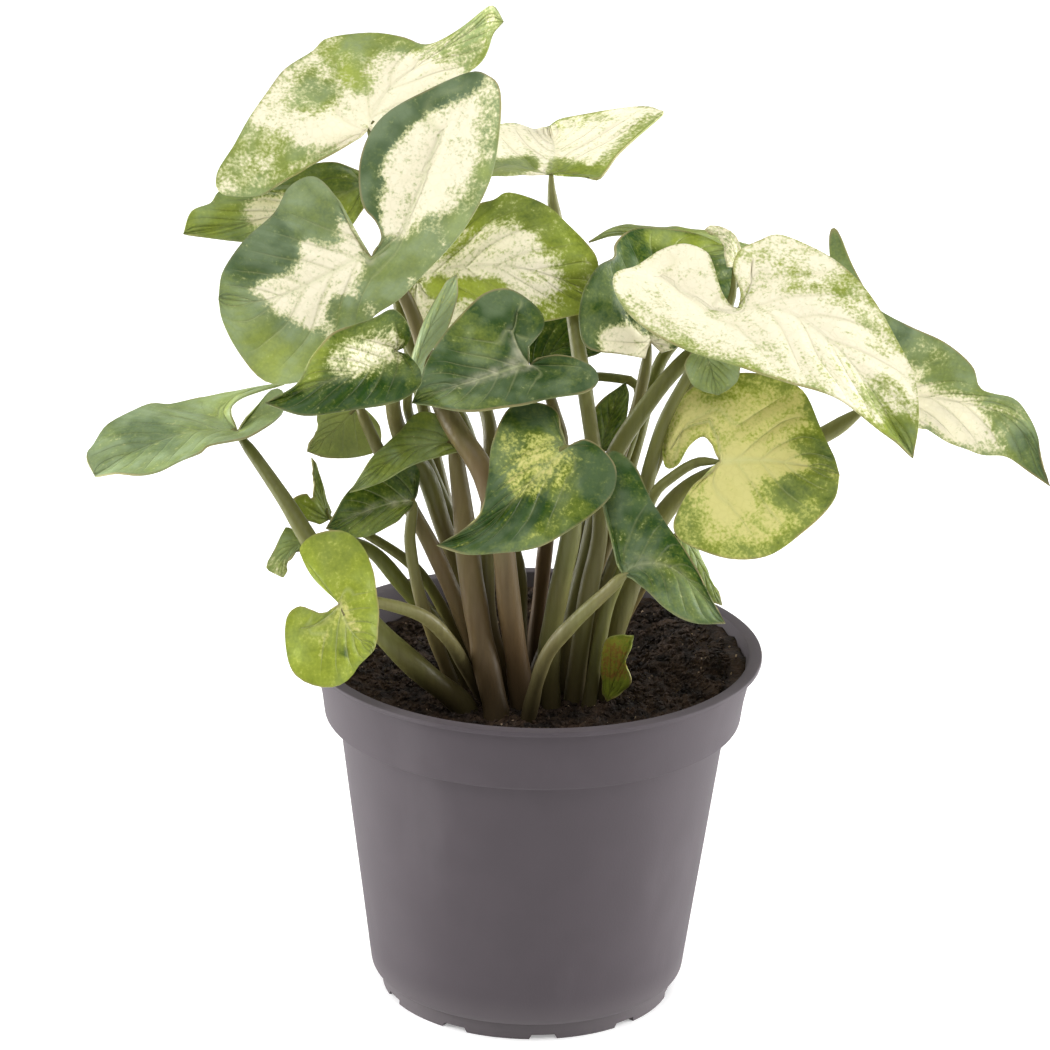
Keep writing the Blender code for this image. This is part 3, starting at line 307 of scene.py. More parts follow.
        stalk=[(-34, 160, -12), (-29, 147, 1), (-20, 125, 6), (-12, 100, 4)]),
    "under_right": dict(
        midrib=[(42, 179, -15), (44, 173, -15), (46, 166, -16)],
        left=[(45, 180, -14), (51, 177, -15), (51, 171, -15), (49, 168, -16)],
        right=[(39, 178, -14), (37, 174, -14), (39, 169, -15), (42, 167, -16)],
        level=(1, 1), foot=(11.5, -7), radii=(1.3, 2.0, 1.9),
        stalk=[(40, 175, -11), (37, 169, -10.5), (32, 158, -11), (29, 146, -11), (27, 136, -10),
               (19, 115, -10), (14, 97, -8)]),
    "low_right": dict(
        midrib=[(38, 128, -6), (43, 120, -6), (49, 108, -8)],
        left=[(41, 126, -4), (43.8, 120, -4), (45, 116, -5), (47.5, 112.5, -6)],
        right=[(35, 125, -7), (36, 118, -9), (41, 111, -9)],
        level=(0, 1), foot=(17, 1), radii=(1.2, 1.5, 1.7),
        stalk=[(32, 120, 2), (25, 107, 3)]),
    "dark_back_centre": dict(
        midrib=[(16, 150, 7), (18, 158, 8), (22, 169, 9)],
        left=[(13, 150, 6), (12, 156, 6), (15, 163, 8)],
        right=[(19, 150, 8), (22, 158, 9), (23, 165, 9)],
        level=(1, 0), foot=(0.5, 3), radii=(1.2, 1.5, 1.8),
        stalk=[(14, 135, 8), (8, 110, 6)]),
    "pale_curl": dict(
        midrib=[(49, 200.5, 20), (49, 205, 21), (47.5, 208.6, 22), (44.5, 210.2, 23),
                (41, 210.2, 25)],
        left=[(47, 200.5, 19), (46.5, 204.5, 20), (45.5, 207.2, 22), (43.5, 209, 23.5)],
        right=[(50.8, 201, 21), (50.3, 205.5, 22), (48.7, 209.3, 23.5), (45, 211.3, 25),
               (42.5, 211.2, 26)],
        level=(0, 0), foot=(12.5, -1), radii=(1.1, 1.3, 1.6),
        stalk=[(48.5, 192, 18), (43, 178, 9), (36, 163, 8), (30, 145, 7), (22, 122, 4)]),
    "shaded_centre": dict(
        midrib=[(-2, 172, 16), (6, 178, 18), (17, 179, 16)],
        left=[(-6, 178, 19), (-4, 186, 22), (6, 188, 22), (13, 184, 18)],
        right=[(2, 171, 13), (9, 174, 13), (15, 177, 14)],
        level=(1, 0), foot=(8, 5), radii=(1.1, 1.4, 2.0),
        stalk=[(3, 167, 19), (11, 170, 19), (19, 170, 18), (25, 168, 17), (25, 158, 18),
               (20, 140, 15), (14, 118, 10)]),
}

BRACT = dict(
    midrib=[(19.6, 80.3, -17), (23.1, 90, -20), (26.1, 99, -22)],
    left=[(18.6, 82.6, -17), (17.6, 91, -20), (19.1, 98, -21), (23.1, 99, -22)],
    right=[(22.1, 81.6, -18), (25.9, 86, -20), (24.1, 91, -21), (25.4, 96.5, -22)],
    level=(1, 1))


# How each blade is coloured. Green is its share of green over cream, dark its step from lime to dark
# green, grey how much painted grey-green sheen it has, in place of light glancing off the glossy blade,
# vein how pale its veins are. Edge is the width, in millimetres, of a greener margin and the green it
# adds. Each patch is a stroke from one (across, height) to another: (from across, from height, to
# across, to height, radius, green added, dark added). Stalk is how ruddy and how pale the leaf's stalk
# is.
LOOKS = {
    "top_left": dict(slot="cream_leaf", green=0.24, dark=0.16, grey=0.6, vein=0.25, edge=(2, 0.3),
        stalk=(0.2, 0.3), patches=[
            (-54, 253, -47, 254, 4, 0.45, 0), (-50, 257.5, -33, 257, 2.5, 0.5, 0.25),
            (-60, 247, -56, 244, 3.5, 0.45, 0.3), (-64, 242, -58, 240, 3, 0.3, 0),
            (-50, 248, -46, 246, 3, 0.45, -0.2), (-76, 232, -66, 229, 4, 0.4, 0.1),
            (-80, 226, -72, 220, 5, 0.35, 0.15), (-66, 224, -56, 229, 3, 0.35, 0.1),
            (-44, 240, -30, 248, 6, -0.2, 0), (-60, 234, -44, 232, 5, -0.2, 0),
            (-26, 256, -19, 262, 4, 0.3, 0.1), (-14, 264, -19, 253, 3.5, 0.3, 0.1)]),
    "front_left": dict(slot="cream_leaf", green=0.14, dark=0.68, grey=0.74, vein=0.8, edge=(1.5, 0.4),
        stalk=(0.9, 0.5), patches=[
            (-46, 213, -46, 228, 4.5, 0.95, 0.45), (-44, 232, -36, 240.5, 5, 0.95, 0.55),
            (-36, 242, -20, 249, 4.5, 0.95, 0.55), (-13.5, 242, -14, 226, 4.5, 0.42, -0.2),
            (-15, 222, -21, 209, 4.5, 0.5, -0.2), (-30, 208, -22, 209, 4.5, 0.5, -0.1),
            (-40, 200, -31, 201, 5.5, 1, -0.1), (-42, 193, -38, 190, 5, 1, -0.1),
            (-58, 216, -68, 209, 6.5, 1, 0), (-70, 206, -78, 202, 6, 1, 0.55),
            (-60, 211, -55, 207, 3.5, 0.7, 0), (-82, 196, -80, 186, 6, 1, 0),
            (-66, 201, -76, 196, 3.8, 0.9, 0.3), (-78, 180, -70, 172, 8, 1, -0.3),
            (-66, 170, -60, 174, 7, 0.9, -0.3), (-73, 186, -64, 179, 3.5, 0.6, 0.1),
            (-50, 186, -48, 182, 5, 0.9, 0)]),
    "curled_left": dict(slot="green_leaf", green=0.97, dark=0.8, grey=0.18, vein=0.5, edge=(2, 0.1),
        stalk=(0.5, 0.3), patches=[
            (-50, 173, -40, 177, 5.5, -0.62, -0.2), (-58, 178, -60, 167, 3, 0, -0.4),
            (-56, 176, -42, 184, 3, 0, -0.1), (-60, 162, -38, 164, 5, 0, 0.25)]),
    "far_left": dict(slot="green_leaf", green=0.95, dark=0.6, grey=0.82, vein=0.25, edge=(2, 0.1),
        stalk=(0.0, 0.6), patches=[
            (-104, 153, -98, 151, 6, 0, 0.3), (-112, 148, -108, 146, 6, 0, 0.1),
            (-84, 162, -78, 160, 5, 0, -0.35), (-74, 164, -68, 166, 5, 0, -0.2)]),
    "low_left": dict(slot="lime_leaf", green=0.86, dark=0.22, grey=0.14, vein=0.8, edge=(3, 0.1),
        stalk=(0.5, 0.95), patches=[
            (-51, 106, -47, 99, 1.6, -0.5, 0), (-52, 105, -56, 92, 1.3, -0.3, 0),
            (-50, 92.6, -50, 92.4, 1.2, 0.1, 0.7), (-54, 120, -50, 123, 6, 0, 0.12)]),
    "dark_centre": dict(slot="green_leaf", green=1.0, dark=1.05, grey=0.5, vein=0.9, edge=(2, 0),
        stalk=(0.6, 0.2), patches=[
            (-22, 184, -15, 178, 5, 0, -0.35), (-30, 164, -8, 160.5, 2.5, 0, -0.3),
            (8, 170, -1, 186, 4, 0, -0.15)]),
    "front_centre": dict(slot="lime_leaf", green=0.82, dark=0.72, grey=0.3, vein=0.5, edge=(2.5, 0.3),
        stalk=(0.1, 0.6), patches=[
            (5, 147, -3, 142, 6, -0.3, -0.12), (-6, 152, -3, 150, 5, -0.2, -0.05),
            (-13, 138, -8, 129, 4.5, 0.4, 0.5), (0, 134, -14, 126, 4, 0.35, 0.5),
            (15, 150, 17, 141, 6, 0.4, 0.45), (-6, 160, 1, 159, 4, 0.3, 0.2),
            (-18, 125, -24, 124, 3, 0.4, 0.4)]),
    "hanging_right": dict(slot="green_leaf", green=1.0, dark=0.97, grey=0.35, vein=0.5, edge=(2, 0),
        stalk=(0.45, 0.95), patches=[(32, 120, 42, 112, 3, -0.1, -0.2), (30, 110, 44, 105, 4, 0, -0.15)]),
    "lime_right": dict(slot="lime_leaf", green=0.26, dark=0.12, grey=0.15, vein=0.75, edge=(2.5, 0.25),
        stalk=(0.0, 0.55), patches=[
            (50, 146, 50, 137, 5, -0.4, 0), (54, 148, 66, 147, 3.5, -0.35, 0),
            (66, 142, 74, 141, 4, 0.6, 0.45), (69, 153, 74, 148, 3.5, 0.5, 0.4),
            (60, 140, 66, 137, 3.5, 0.45, 0.3), (38, 134, 40, 128, 3.5, 0.3, 0.25),
            (44, 124, 62, 124, 2.5, 0.3, 0.2), (76, 136, 64, 127, 3, 0.35, 0.25),
            (44, 168, 62, 169, 4, 0.3, 0.2), (70, 164, 75, 152, 3, 0.4, 0.35)]),
    "large_right": dict(slot="cream_leaf", green=0.08, dark=0.15, grey=0.4, vein=0.3, edge=(1.6, 0.3),
        stalk=(0.05, 0.5), patches=[
            (50, 205, 64, 206, 5, 0.22, -0.1), (66, 198, 76, 195, 4, 0.30, 0.1),
            (78, 196, 90, 181, 4.5, 0.28, 0), (22, 190, 36, 180, 3, 0.26, 0),
            (36, 179, 50, 175, 3, 0.3, 0.1), (50, 174, 72, 168, 2.5, 0.2, 0),
            (48, 190, 60, 196, 6, 0.12, -0.2), (56, 178, 80, 172, 5, 0.12, -0.2),
            (88, 170, 96, 160, 4, 0.35, 0.1), (93, 158, 97, 151, 3.5, 0.9, 0.3),
            (84, 166, 92, 156, 3, 0.4, 0)]),
    "dark_right": dict(slot="green_leaf", green=1.0, dark=0.9, grey=0.3, vein=0.3, edge=(2, 0),
        stalk=(0.7, 0.5), patches=[
            (18, 180, 30, 178, 4, -0.85, -0.3), (24, 186, 21, 183, 3, -0.4, 0),
            (28, 208, 44, 206, 2.5, 0, -0.5)]),
    "far_right": dict(slot="cream_leaf", green=0.30, dark=0.3, grey=0.7, vein=0.3, edge=(2, 0.35),
        stalk=(0.1, 0.6), patches=[
            (94, 182, 108, 176, 6, 0.5, 0.3), (102, 171, 110, 170, 4, 0.4, 0.1),
            (100, 165, 110, 160, 6, -0.3, 0), (118, 166, 123, 157, 5, 0.45, 0.15),
            (126, 155, 132, 145, 4.5, 0.9, 0.5), (75, 210, 80, 196, 4, 1, 0.4),
            (84, 191, 92, 184, 4, 0.6, 0.4)]),
    "top_centre": dict(slot="cream_leaf", green=0.12, dark=0.3, grey=0.15, vein=0.4, edge=(1.5, 0.4),
        stalk=(0.05, 0.75), patches=[
            (-14, 225, -4, 226.5, 2.2, 0.9, 0.3), (3, 226, 13, 224, 2.4, 0.8, 0.2),
            (15, 226, 26, 238, 2.5, 0.5, 0), (-18, 228, -18, 233, 2, 0.35, 0),
            (2, 237, 14, 240, 2, 0.3, 0)]),
    "cream_centre": dict(slot="cream_leaf", green=0.2, dark=0.25, grey=0.1, vein=0.3, edge=(2.5, 0.35),
        stalk=(0.4, 0.5), patches=[
            (-17, 214, -4, 215, 4, 0.6, 0.25), (-2, 212, 8, 206, 4, 0.6, 0.2),
            (11, 203, 10, 191, 4.5, 0.55, 0), (5, 190, -2, 186, 4, 0.45, 0.05),
            (-27, 193, -12, 193, 3, 0.75, -0.2), (-18, 211, -24, 205, 4, 0.45, -0.1),
            (2, 205, 6, 198, 3, 0.4, 0.1)]),
    "back_left": dict(slot="green_leaf", green=0.96, dark=0.75, grey=0.5, vein=0.3, edge=(2, 0),
        stalk=(0.3, 0.2), patches=[
            (-72, 212, -64, 213, 4.5, -0.9, -0.2), (-90, 209, -84, 209, 6, 0, -0.35),
            (-80, 216, -74, 208, 3, 0, -0.3), (-50, 213, -48, 209, 5, 0, -0.35)]),
    "edge_right": dict(slot="lime_leaf", green=0.9, dark=0.45, grey=0.3, vein=0.2, edge=(1, 0),
        stalk=(0.3, 0.2), patches=[(12, 206, 30, 210, 3, 0, 0.2)]),
    "dark_left": dict(slot="green_leaf", green=1.0, dark=0.84, grey=0.2, vein=0.8, edge=(2, 0),
        stalk=(0.5, 0.55), patches=[(-36, 131, -46, 126, 3, 0, -0.25)]),
    "twisted_left": dict(slot="green_leaf", green=0.95, dark=0.5, grey=0.3, vein=0.3, edge=(1, 0),
        stalk=(0.3, 0.3), patches=[]),
    "small_low_left": dict(slot="green_leaf", green=0.95, dark=0.5, grey=0.6, vein=0.2, edge=(1, 0),
        stalk=(0.1, 0.25), patches=[(-70, 117, -66, 114, 3, -0.3, -0.2)]),
    "lime_left": dict(slot="lime_leaf", green=0.95, dark=0.3, grey=0.05, vein=0.2, edge=(2, 0),
        stalk=(0.8, 0.55), patches=[(-45, 154, -44, 149, 4, 0, -0.15), (-56, 154, -50, 150, 4, 0, 0.15)]),
    "folded_centre": dict(slot="green_leaf", green=1.0, dark=0.5, grey=0.5, vein=0.3, edge=(1, 0),
        stalk=(1.0, 0.45), patches=[(-42, 150, -34, 156, 4, 0, 0.1)]),
    "young_roll": dict(slot="lime_leaf", green=0.85, dark=0.3, grey=1.1, vein=0.1, edge=(1, 0),
        stalk=(0.1, 0.6), patches=[]),
    "under_right": dict(slot="green_leaf", green=0.95, dark=0.5, grey=0.8, vein=0.2, edge=(1, 0),
        stalk=(0.2, 0.5), patches=[]),
    "low_right": dict(slot="lime_leaf", green=1.0, dark=0.6, grey=0.4, vein=0.2, edge=(1, 0),
        stalk=(0.8, 0.3), patches=[]),
    "dark_back_centre": dict(slot="green_leaf", green=1.0, dark=0.78, grey=0.1, vein=0.3, edge=(1, 0),
        stalk=(0.4, 0.3), patches=[]),
    "pale_curl": dict(slot="cream_leaf", green=0.35, dark=0.2, grey=0.7, vein=0.1, edge=(1, 0),
        stalk=(0.2, 0.6), patches=[]),
    "shaded_centre": dict(slot="green_leaf", green=1.0, dark=0.9, grey=0.05, vein=0.2, edge=(1, 0),
        stalk=(0.3, 0.35), patches=[]),
}
BRACT_LOOK = dict(slot="bract", green=0.35, dark=0.25, grey=0.0, vein=0.1, edge=(1.5, 0.1), patches=[
    (20, 84, 24, 84, 2.5, 0.6, 0), (25, 97, 22, 99, 2.5, 0.3, 0)])


def place(point):
    """The true position, in metres about the pot's axis, of an (across, height, back) point."""
    across, height, back = point
    on_plane = Vector((across, 0.0, height))
    return (EYE + (on_plane - EYE) * (1.0 - back / EYE.y)) * MM


def shown_at(position):
    """The (across, height) at which a position about the pot's axis shows on the upright plane."""
    spot = position / MM
    seen = EYE + (spot - EYE) * (EYE.y / (EYE.y - spot.y))
    return seen.x, seen.z


def curve_point(points, at):
    """The place, on a Catmull-Rom curve through points, of point number at; it may be a fraction."""
    k = min(int(at), len(points) - 2)
    u = at - k
    b, c = points[k], points[k + 1]
    a = points[k - 1] if k > 0 else 2 * b - c
    d = points[k + 2] if k + 2 < len(points) else 2 * c - b
    return 0.5 * (2 * b + (c - a) * u + (2 * a - 5 * b + 4 * c - d) * u ** 2
                  + (3 * b - a - 3 * c + d) * u ** 3)


def evenly(points, count):
    """Points at equal steps of length along the curve through points."""
    between = 8
    fine = [curve_point(points, k / between) for k in range(between * (len(points) - 1) + 1)]
    lengths = [0.0]
    for p, q in zip(fine, fine[1:]):
        lengths.append(lengths[-1] + (q - p).length)
    samples = []
    for step in range(count + 1):
        target = lengths[-1] * step / count
        k = max(1, next((i for i, at in enumerate(lengths) if at >= target), len(lengths) - 1))
        run = lengths[k] - lengths[k - 1]
        samples.append(fine[k - 1].lerp(fine[k], (target - lengths[k - 1]) / run))
    return samples


def clamped(value):
    """A value kept within 0 to 1."""
    return min(max(value, 0.0), 1.0)


def smooth_step(value):
    """0 below 0, 1 above 1 and a smooth rise between."""
    value = clamped(value)
    return value * value * (3 - 2 * value)


# ---- sizes and colours -----------------------------------------------------------------------------
COLOUR = dict(subtype="COLOR", size=3, min=0, max=1)


class SyngoniumSizes(bpy.types.PropertyGroup):
    """Sizes of the leaves, stalks and soil."""
    blade_thickness: FloatProperty(name="Blade thickness", description="Thickness of a leaf blade",
                                   default=0.5 * MM, unit="LENGTH")
    blade_step: FloatProperty(name="Blade step", description="Length of a face along a blade's margin",
                              default=1.5 * MM, unit="LENGTH")
    blade_columns: IntProperty(name="Blade columns", description="Faces from midrib to margin",
                               default=12, min=4)
    pillow: FloatProperty(name="Pillow", description="Rise of the blade between its side veins",
                          default=0.35 * MM, unit="LENGTH")
    ripple: FloatProperty(name="Ripple", description="Height of the waves along a blade's margin",
                          default=0.5 * MM, unit="LENGTH")
    stalk_sides: IntProperty(name="Stalk sides", description="Faces round a stalk", default=14, min=6)
    stalk_rings: IntProperty(name="Stalk rings", description="Faces along a stalk", default=48, min=8)
    pot_steps: IntProperty(name="Pot steps", description="Faces round the pot", default=160, min=40)
    heap: FloatProperty(name="Soil heap", description="Height of the soil heaped against the wall",
                        default=6.5 * MM, unit="LENGTH")
    heap_side: FloatProperty(name="Heap side", description="Side of the pot the soil is heaped on",
                             default=radians(50), subtype="ANGLE")
    crumb_size: FloatProperty(name="Crumb size", description="Largest crumb of soil",
                              default=1.2 * MM, unit="LENGTH")
    crumb_density: FloatProperty(name="Crumb density", description="Crumbs in a square metre",
                                 default=520000.0)
    fleck_density: FloatProperty(name="Fleck density", description="Pale flecks in a square metre",
                                 default=26000.0)


class SyngoniumColours(bpy.types.PropertyGroup):
    """Colours of the plant and its pot."""
    cream: FloatVectorProperty(name="Cream", description="Palest part of a blade",
                               default=(0.85, 0.79, 0.59), **COLOUR)
    lime_cream: FloatVectorProperty(name="Lime cream", description="Palest part of a lime blade",
                                    default=(0.61, 0.57, 0.21), **COLOUR)
    dry: FloatVectorProperty(name="Dry", description="Dry part of a sheath",
                             default=(0.30, 0.17, 0.035), **COLOUR)
    lime: FloatVectorProperty(name="Lime", description="Yellow-green part of a blade",
                              default=(0.33, 0.39, 0.045), **COLOUR)
    dark: FloatVectorProperty(name="Dark green", description="Darkest part of a blade",
                              default=(0.014, 0.046, 0.002), **COLOUR)
    # Painted sheen: a grey-green that stands in for light glancing off the glossy blades.
    painted_sheen: FloatVectorProperty(name="Sheen", description="Waxy grey-green bloom",
                               default=(0.30, 0.38, 0.22), **COLOUR)
    stalk_green: FloatVectorProperty(name="Stalk green", description="Green of the stalks",
                                     default=(0.084, 0.097, 0.010), **COLOUR)
    stalk_ruddy: FloatVectorProperty(name="Stalk pink", description="Pinkish brown of the stalks",
                                     default=(0.105, 0.053, 0.025), **COLOUR)
    peat: FloatVectorProperty(name="Peat", description="Soil", default=(0.019, 0.011, 0.0065), **COLOUR)
    fleck: FloatVectorProperty(name="Fleck", description="Pale flecks in the soil",
                               default=(0.30, 0.22, 0.15), **COLOUR)
    plastic: FloatVectorProperty(name="Plastic", description="Grey of the pot",
                                 default=(0.060, 0.049, 0.056), **COLOUR)
    floor: FloatVectorProperty(name="Floor", description="Studio floor", default=(0.90, 0.90, 0.90),
                               **COLOUR)


# Tints that a blade, a stalk or the pot takes on in places, and the painted shade low on a stalk.
PALE_VEIN = (0.56, 0.60, 0.30)
VEIN_SHADE = (0.72, 0.72, 0.55)
DRY_RIM = (0.30, 0.24, 0.11)
UNDERSIDE = (0.34, 0.38, 0.18)
STALK_PALE = (0.27, 0.25, 0.11)
STALK_STREAK = (0.60, 0.58, 0.50)
# Painted shade near the soil, where the stalks crowd and the leaves shade them.
STALK_BASE_SHADE = (0.035, 0.026, 0.012)
SCUFF = (0.30, 0.28, 0.29)
DUST = (0.24, 0.22, 0.22)

# The side veins of a blade: how many to its length, and how they start, sweep forward and bend.
VEIN_COUNT = 6
VEIN_START = 0.35
VEIN_SWEEP = 1.9
VEIN_BEND = 0.85
LOBE_ALONG = 0.5                # of a blade's length, that its lobes count behind the stalk


# ---- node helpers ----------------------------------------------------------------------------------
def feed(tree, node, inputs):
    """Give each input of a node, by number or name, a value, a colour triple or a link."""
    for key, value in inputs.items():
        socket = node.inputs[key]
        if isinstance(value, bpy.types.NodeSocket):
            tree.links.new(value, socket)
        else:
            socket.default_value = (*value, 1.0) if socket.type == "RGBA" else value


def new_node(tree, kind, inputs=None, **settings):
    """A node with its settings and inputs."""
    node = tree.nodes.new(kind)
    for name, value in settings.items():
        setattr(node, name, value)
    feed(tree, node, inputs or {})
    return node


def new_tree(name, kind, inputs, outputs):
    """An empty node group and its two ends; each socket is (label, kind) or (label, kind, default)."""
    tree = bpy.data.node_groups.new(name, kind)
    for way, sockets in (("INPUT", inputs), ("OUTPUT", outputs)):
        for label, sort, *default in sockets:
            socket = tree.interface.new_socket(label, in_out=way, socket_type="NodeSocket" + sort)
            if default:
                socket.default_value = default[0]
    return tree, tree.nodes.new("NodeGroupInput"), tree.nodes.new("NodeGroupOutput")


def group_node(tree, name, **inputs):
    """A placed copy of a node group with its inputs set."""
    node = new_node(tree, "ShaderNodeGroup", node_tree=bpy.data.node_groups[name])
    feed(tree, node, {label.replace("_", " "): value for label, value in inputs.items()})
    return node


def maths(tree, operation, *operands, clamp=False):
    """A Math node; each operand is a number or a socket."""
    return new_node(tree, "ShaderNodeMath", dict(enumerate(operands)), operation=operation,
                    use_clamp=clamp).outputs[0]


def times(tree, first, *factors):
    """A product."""
    for factor in factors:
        first = maths(tree, "MULTIPLY", first, factor)
    return first


def plus(tree, first, second, clamp=False):
    """A sum."""
    return maths(tree, "ADD", first, second, clamp=clamp)


def minus(tree, first, second, clamp=False):
    """A difference."""
    return maths(tree, "SUBTRACT", first, second, clamp=clamp)


def mix_colour(tree, share, first, second, blend="MIX"):
    """A colour mix; share is a number or socket, each colour a triple or socket."""
    return new_node(tree, "ShaderNodeMix", {0: share, 6: first, 7: second}, data_type="RGBA",
                    blend_type=blend).outputs[2]


def ramp(tree, value, low, high, to_low=0.0, to_high=1.0):
    """A value eased from low..high to to_low..to_high."""
    return new_node(tree, "ShaderNodeMapRange", {0: value, 1: low, 2: high, 3: to_low, 4: to_high},
                    interpolation_type="SMOOTHSTEP").outputs[0]


def attribute(tree, name):
    """The value of a named attribute of the piece."""
    return new_node(tree, "ShaderNodeAttribute", attribute_name=name).outputs["Fac"]


def height_of(tree, vector):
    """The third coordinate of a vector."""
    return new_node(tree, "ShaderNodeSeparateXYZ", {0: vector}).outputs[2]


def surface_noise(tree, vector, scale, detail=2.0, stretch=None):
    """A noise over the piece, 0 to 1, of so many features a metre."""
    if stretch:
        vector = new_node(tree, "ShaderNodeMapping", {"Vector": vector, "Scale": stretch}).outputs[0]
    cloud = new_node(tree, "ShaderNodeTexNoise", {"Vector": vector, "Scale": scale, "Detail": detail})
    return new_node(tree, "ShaderNodeMapRange",
                    {0: cloud.outputs["Fac"], 1: 0.25, 2: 0.75}).outputs[0]


# ---- shader groups ---------------------------------------------------------------------------------
def grain_group():
    """Fine grain: a height for bumps and a mask for colour, from two sizes of noise."""
    tree, given, out = new_tree(
        "fine_grain", "ShaderNodeTree",
        [("Vector", "Vector"), ("Fine", "Float", 900.0), ("Coarse", "Float", 120.0),
         ("Coarse share", "Float", 0.4)], [("Height", "Float"), ("Mask", "Float")])
    fine, coarse = (new_node(tree, "ShaderNodeTexNoise",
                             {"Vector": given.outputs["Vector"], "Scale": given.outputs[scale],
                              "Detail": 3.0}).outputs["Fac"] for scale in ("Fine", "Coarse"))
    blend = new_node(tree, "ShaderNodeMix", {0: given.outputs["Coarse share"], 2: fine, 3: coarse})
    feed(tree, out, {"Height": blend.outputs[0], "Mask": ramp(tree, coarse, 0.3, 0.7)})


def vein_group():
    """Midrib and side veins of a blade, from its own across and along coordinates."""
    tree, given, out = new_tree(
        "leaf_veins", "ShaderNodeTree",
        [("Vector", "Vector"), ("Across", "Float"), ("Along", "Float"),
         ("Count", "Float", float(VEIN_COUNT)), ("Sweep", "Float", VEIN_SWEEP),
         ("Wobble", "Float", 0.5)],
        [("Midrib", "Float"), ("Side veins", "Float"), ("Pucker", "Float"), ("Net", "Float"),
         ("Streak", "Float")])
    across, along = given.outputs["Across"], given.outputs["Along"]
    sideways = maths(tree, "ABSOLUTE", across)
    midrib_width = ramp(tree, along, -0.3, 1.0, 0.075, 0.03)
    midrib = minus(tree, 1.0, maths(tree, "DIVIDE", sideways, midrib_width), clamp=True)
    swept = times(tree, maths(tree, "POWER", sideways, VEIN_BEND), given.outputs["Sweep"],
                  ramp(tree, along, -VEIN_START, 0.15))
    phase = minus(tree, times(tree, along, given.outputs["Count"]), swept)
    phase = plus(tree, phase, times(tree, given.outputs["Wobble"], 0.3))
    off_vein = maths(tree, "ABSOLUTE", minus(tree, maths(tree, "FRACT", phase), 0.5))
    pucker = times(tree, maths(tree, "SINE", times(tree, off_vein, pi)),
                   ramp(tree, sideways, 1.0, 0.6), ramp(tree, sideways, 0.0, 0.3))
    width = ramp(tree, sideways, 0.0, 1.0, 0.11, 0.035)
    side = times(tree, minus(tree, 1.0, maths(tree, "DIVIDE", off_vein, width), clamp=True),
                 ramp(tree, sideways, 1.0, 0.55))
    cells = new_node(tree, "ShaderNodeTexVoronoi", {"Vector": given.outputs["Vector"], "Scale": 380.0},
                     feature="DISTANCE_TO_EDGE")
    flow = new_node(tree, "ShaderNodeCombineXYZ",
                    {0: times(tree, across, 2.2), 1: times(tree, phase, 2.6)}).outputs[0]
    feed(tree, out, {"Midrib": midrib, "Side veins": side, "Pucker": pucker,
                     "Net": ramp(tree, cells.outputs["Distance"], 0.14, 0.0),
                     "Streak": surface_noise(tree, flow, 1.0, 3.0)})


def variegation_group():
    """Cream, lime, dark green and a painted grey-green sheen, broken up into specks where they meet."""
    tree, given, out = new_tree(
        "variegation", "ShaderNodeTree",
        [("Vector", "Vector"), ("Streak", "Float", 0.5), ("Green", "Float", 0.5),
         ("Dark", "Float", 0.5), ("Grey", "Float", 0.2), ("Cream colour", "Color"),
         ("Lime colour", "Color"), ("Dark colour", "Color"), ("Bloom colour", "Color")],
        [("Colour", "Color")])
    vector, streak, dark, grey = (given.outputs[label] for label in ("Vector", "Streak", "Dark", "Grey"))
    cream, lime = given.outputs["Cream colour"], given.outputs["Lime colour"]
    fine = surface_noise(tree, vector, 1300.0, 2.0)
    middle = surface_noise(tree, vector, 360.0, 4.0)
    wide = surface_noise(tree, vector, 110.0, 2.0)
    speck = plus(tree, times(tree, fine, 0.50), times(tree, middle, 0.35))
    speck = plus(tree, speck, times(tree, streak, 0.40))
    share = ramp(tree, plus(tree, times(tree, given.outputs["Green"], 0.92), speck), 0.62, 1.44)
    mottle = plus(tree, times(tree, middle, 0.5), times(tree, fine, 0.5))
    tone = plus(tree, dark, times(tree, minus(tree, mottle, 0.5), 0.45), clamp=True)
    tone = plus(tree, tone, times(tree, minus(tree, streak, 0.5), 0.25), clamp=True)
    tone = times(tree, tone, ramp(tree, share, 0.3, 0.95, 0.45, 1.0))
    green = mix_colour(tree, tone, lime, given.outputs["Dark colour"])
    # Painted sheen: grey-green clouds washed over the green where light would glance off the gloss,
    # fainter on the darkest blades.
    clouds = new_node(tree, "ShaderNodeMix", {0: minus(tree, grey, 0.3, clamp=True),
                                              2: ramp(tree, wide, 0.25, 0.78), 3: 1.0})
    sheen_share = maths(tree, "MULTIPLY", grey, clouds.outputs[0], clamp=True)
    sheen_share = times(tree, sheen_share, ramp(tree, dark, 0.85, 1.2, 1.0, 0.25),
                 ramp(tree, streak, 0.0, 1.0, 0.6, 1.0))
    green = mix_colour(tree, sheen_share, green, given.outputs["Bloom colour"])
    wash = mix_colour(tree, 0.25, mix_colour(tree, 0.45, cream, lime), green)
    pale = mix_colour(tree, ramp(tree, share, 0.0, 0.6), cream, wash)
    feed(tree, out, {"Colour": mix_colour(tree, ramp(tree, share, 0.35, 1.0), pale, green)})


# ---- materials -------------------------------------------------------------------------------------
def new_material(name, roughness, specular):
    """A material's tree, its Principled shader and the piece's own coordinates."""
    material = bpy.data.materials.new(name)
    material.use_nodes = True
    tree = material.node_tree
    shader = tree.nodes["Principled BSDF"]
    feed(tree, shader, {"Roughness": roughness, "Specular IOR Level": specular})
    return tree, shader, tree.nodes.new("ShaderNodeTexCoord").outputs["Object"]


def finish(tree, shader, colour, roughness, height, strength, distance):
    """Give a shader its colour, its roughness and bump from a height."""
    bump = new_node(tree, "ShaderNodeBump",
                    {"Strength": strength, "Distance": distance, "Height": height})
    feed(tree, shader, {"Base Color": colour, "Roughness": roughness, "Normal": bump.outputs[0]})


def scaled(colour, by):
    """A colour made darker or paler, up to white."""
    return tuple(min(1.0, c * by) for c in colour)


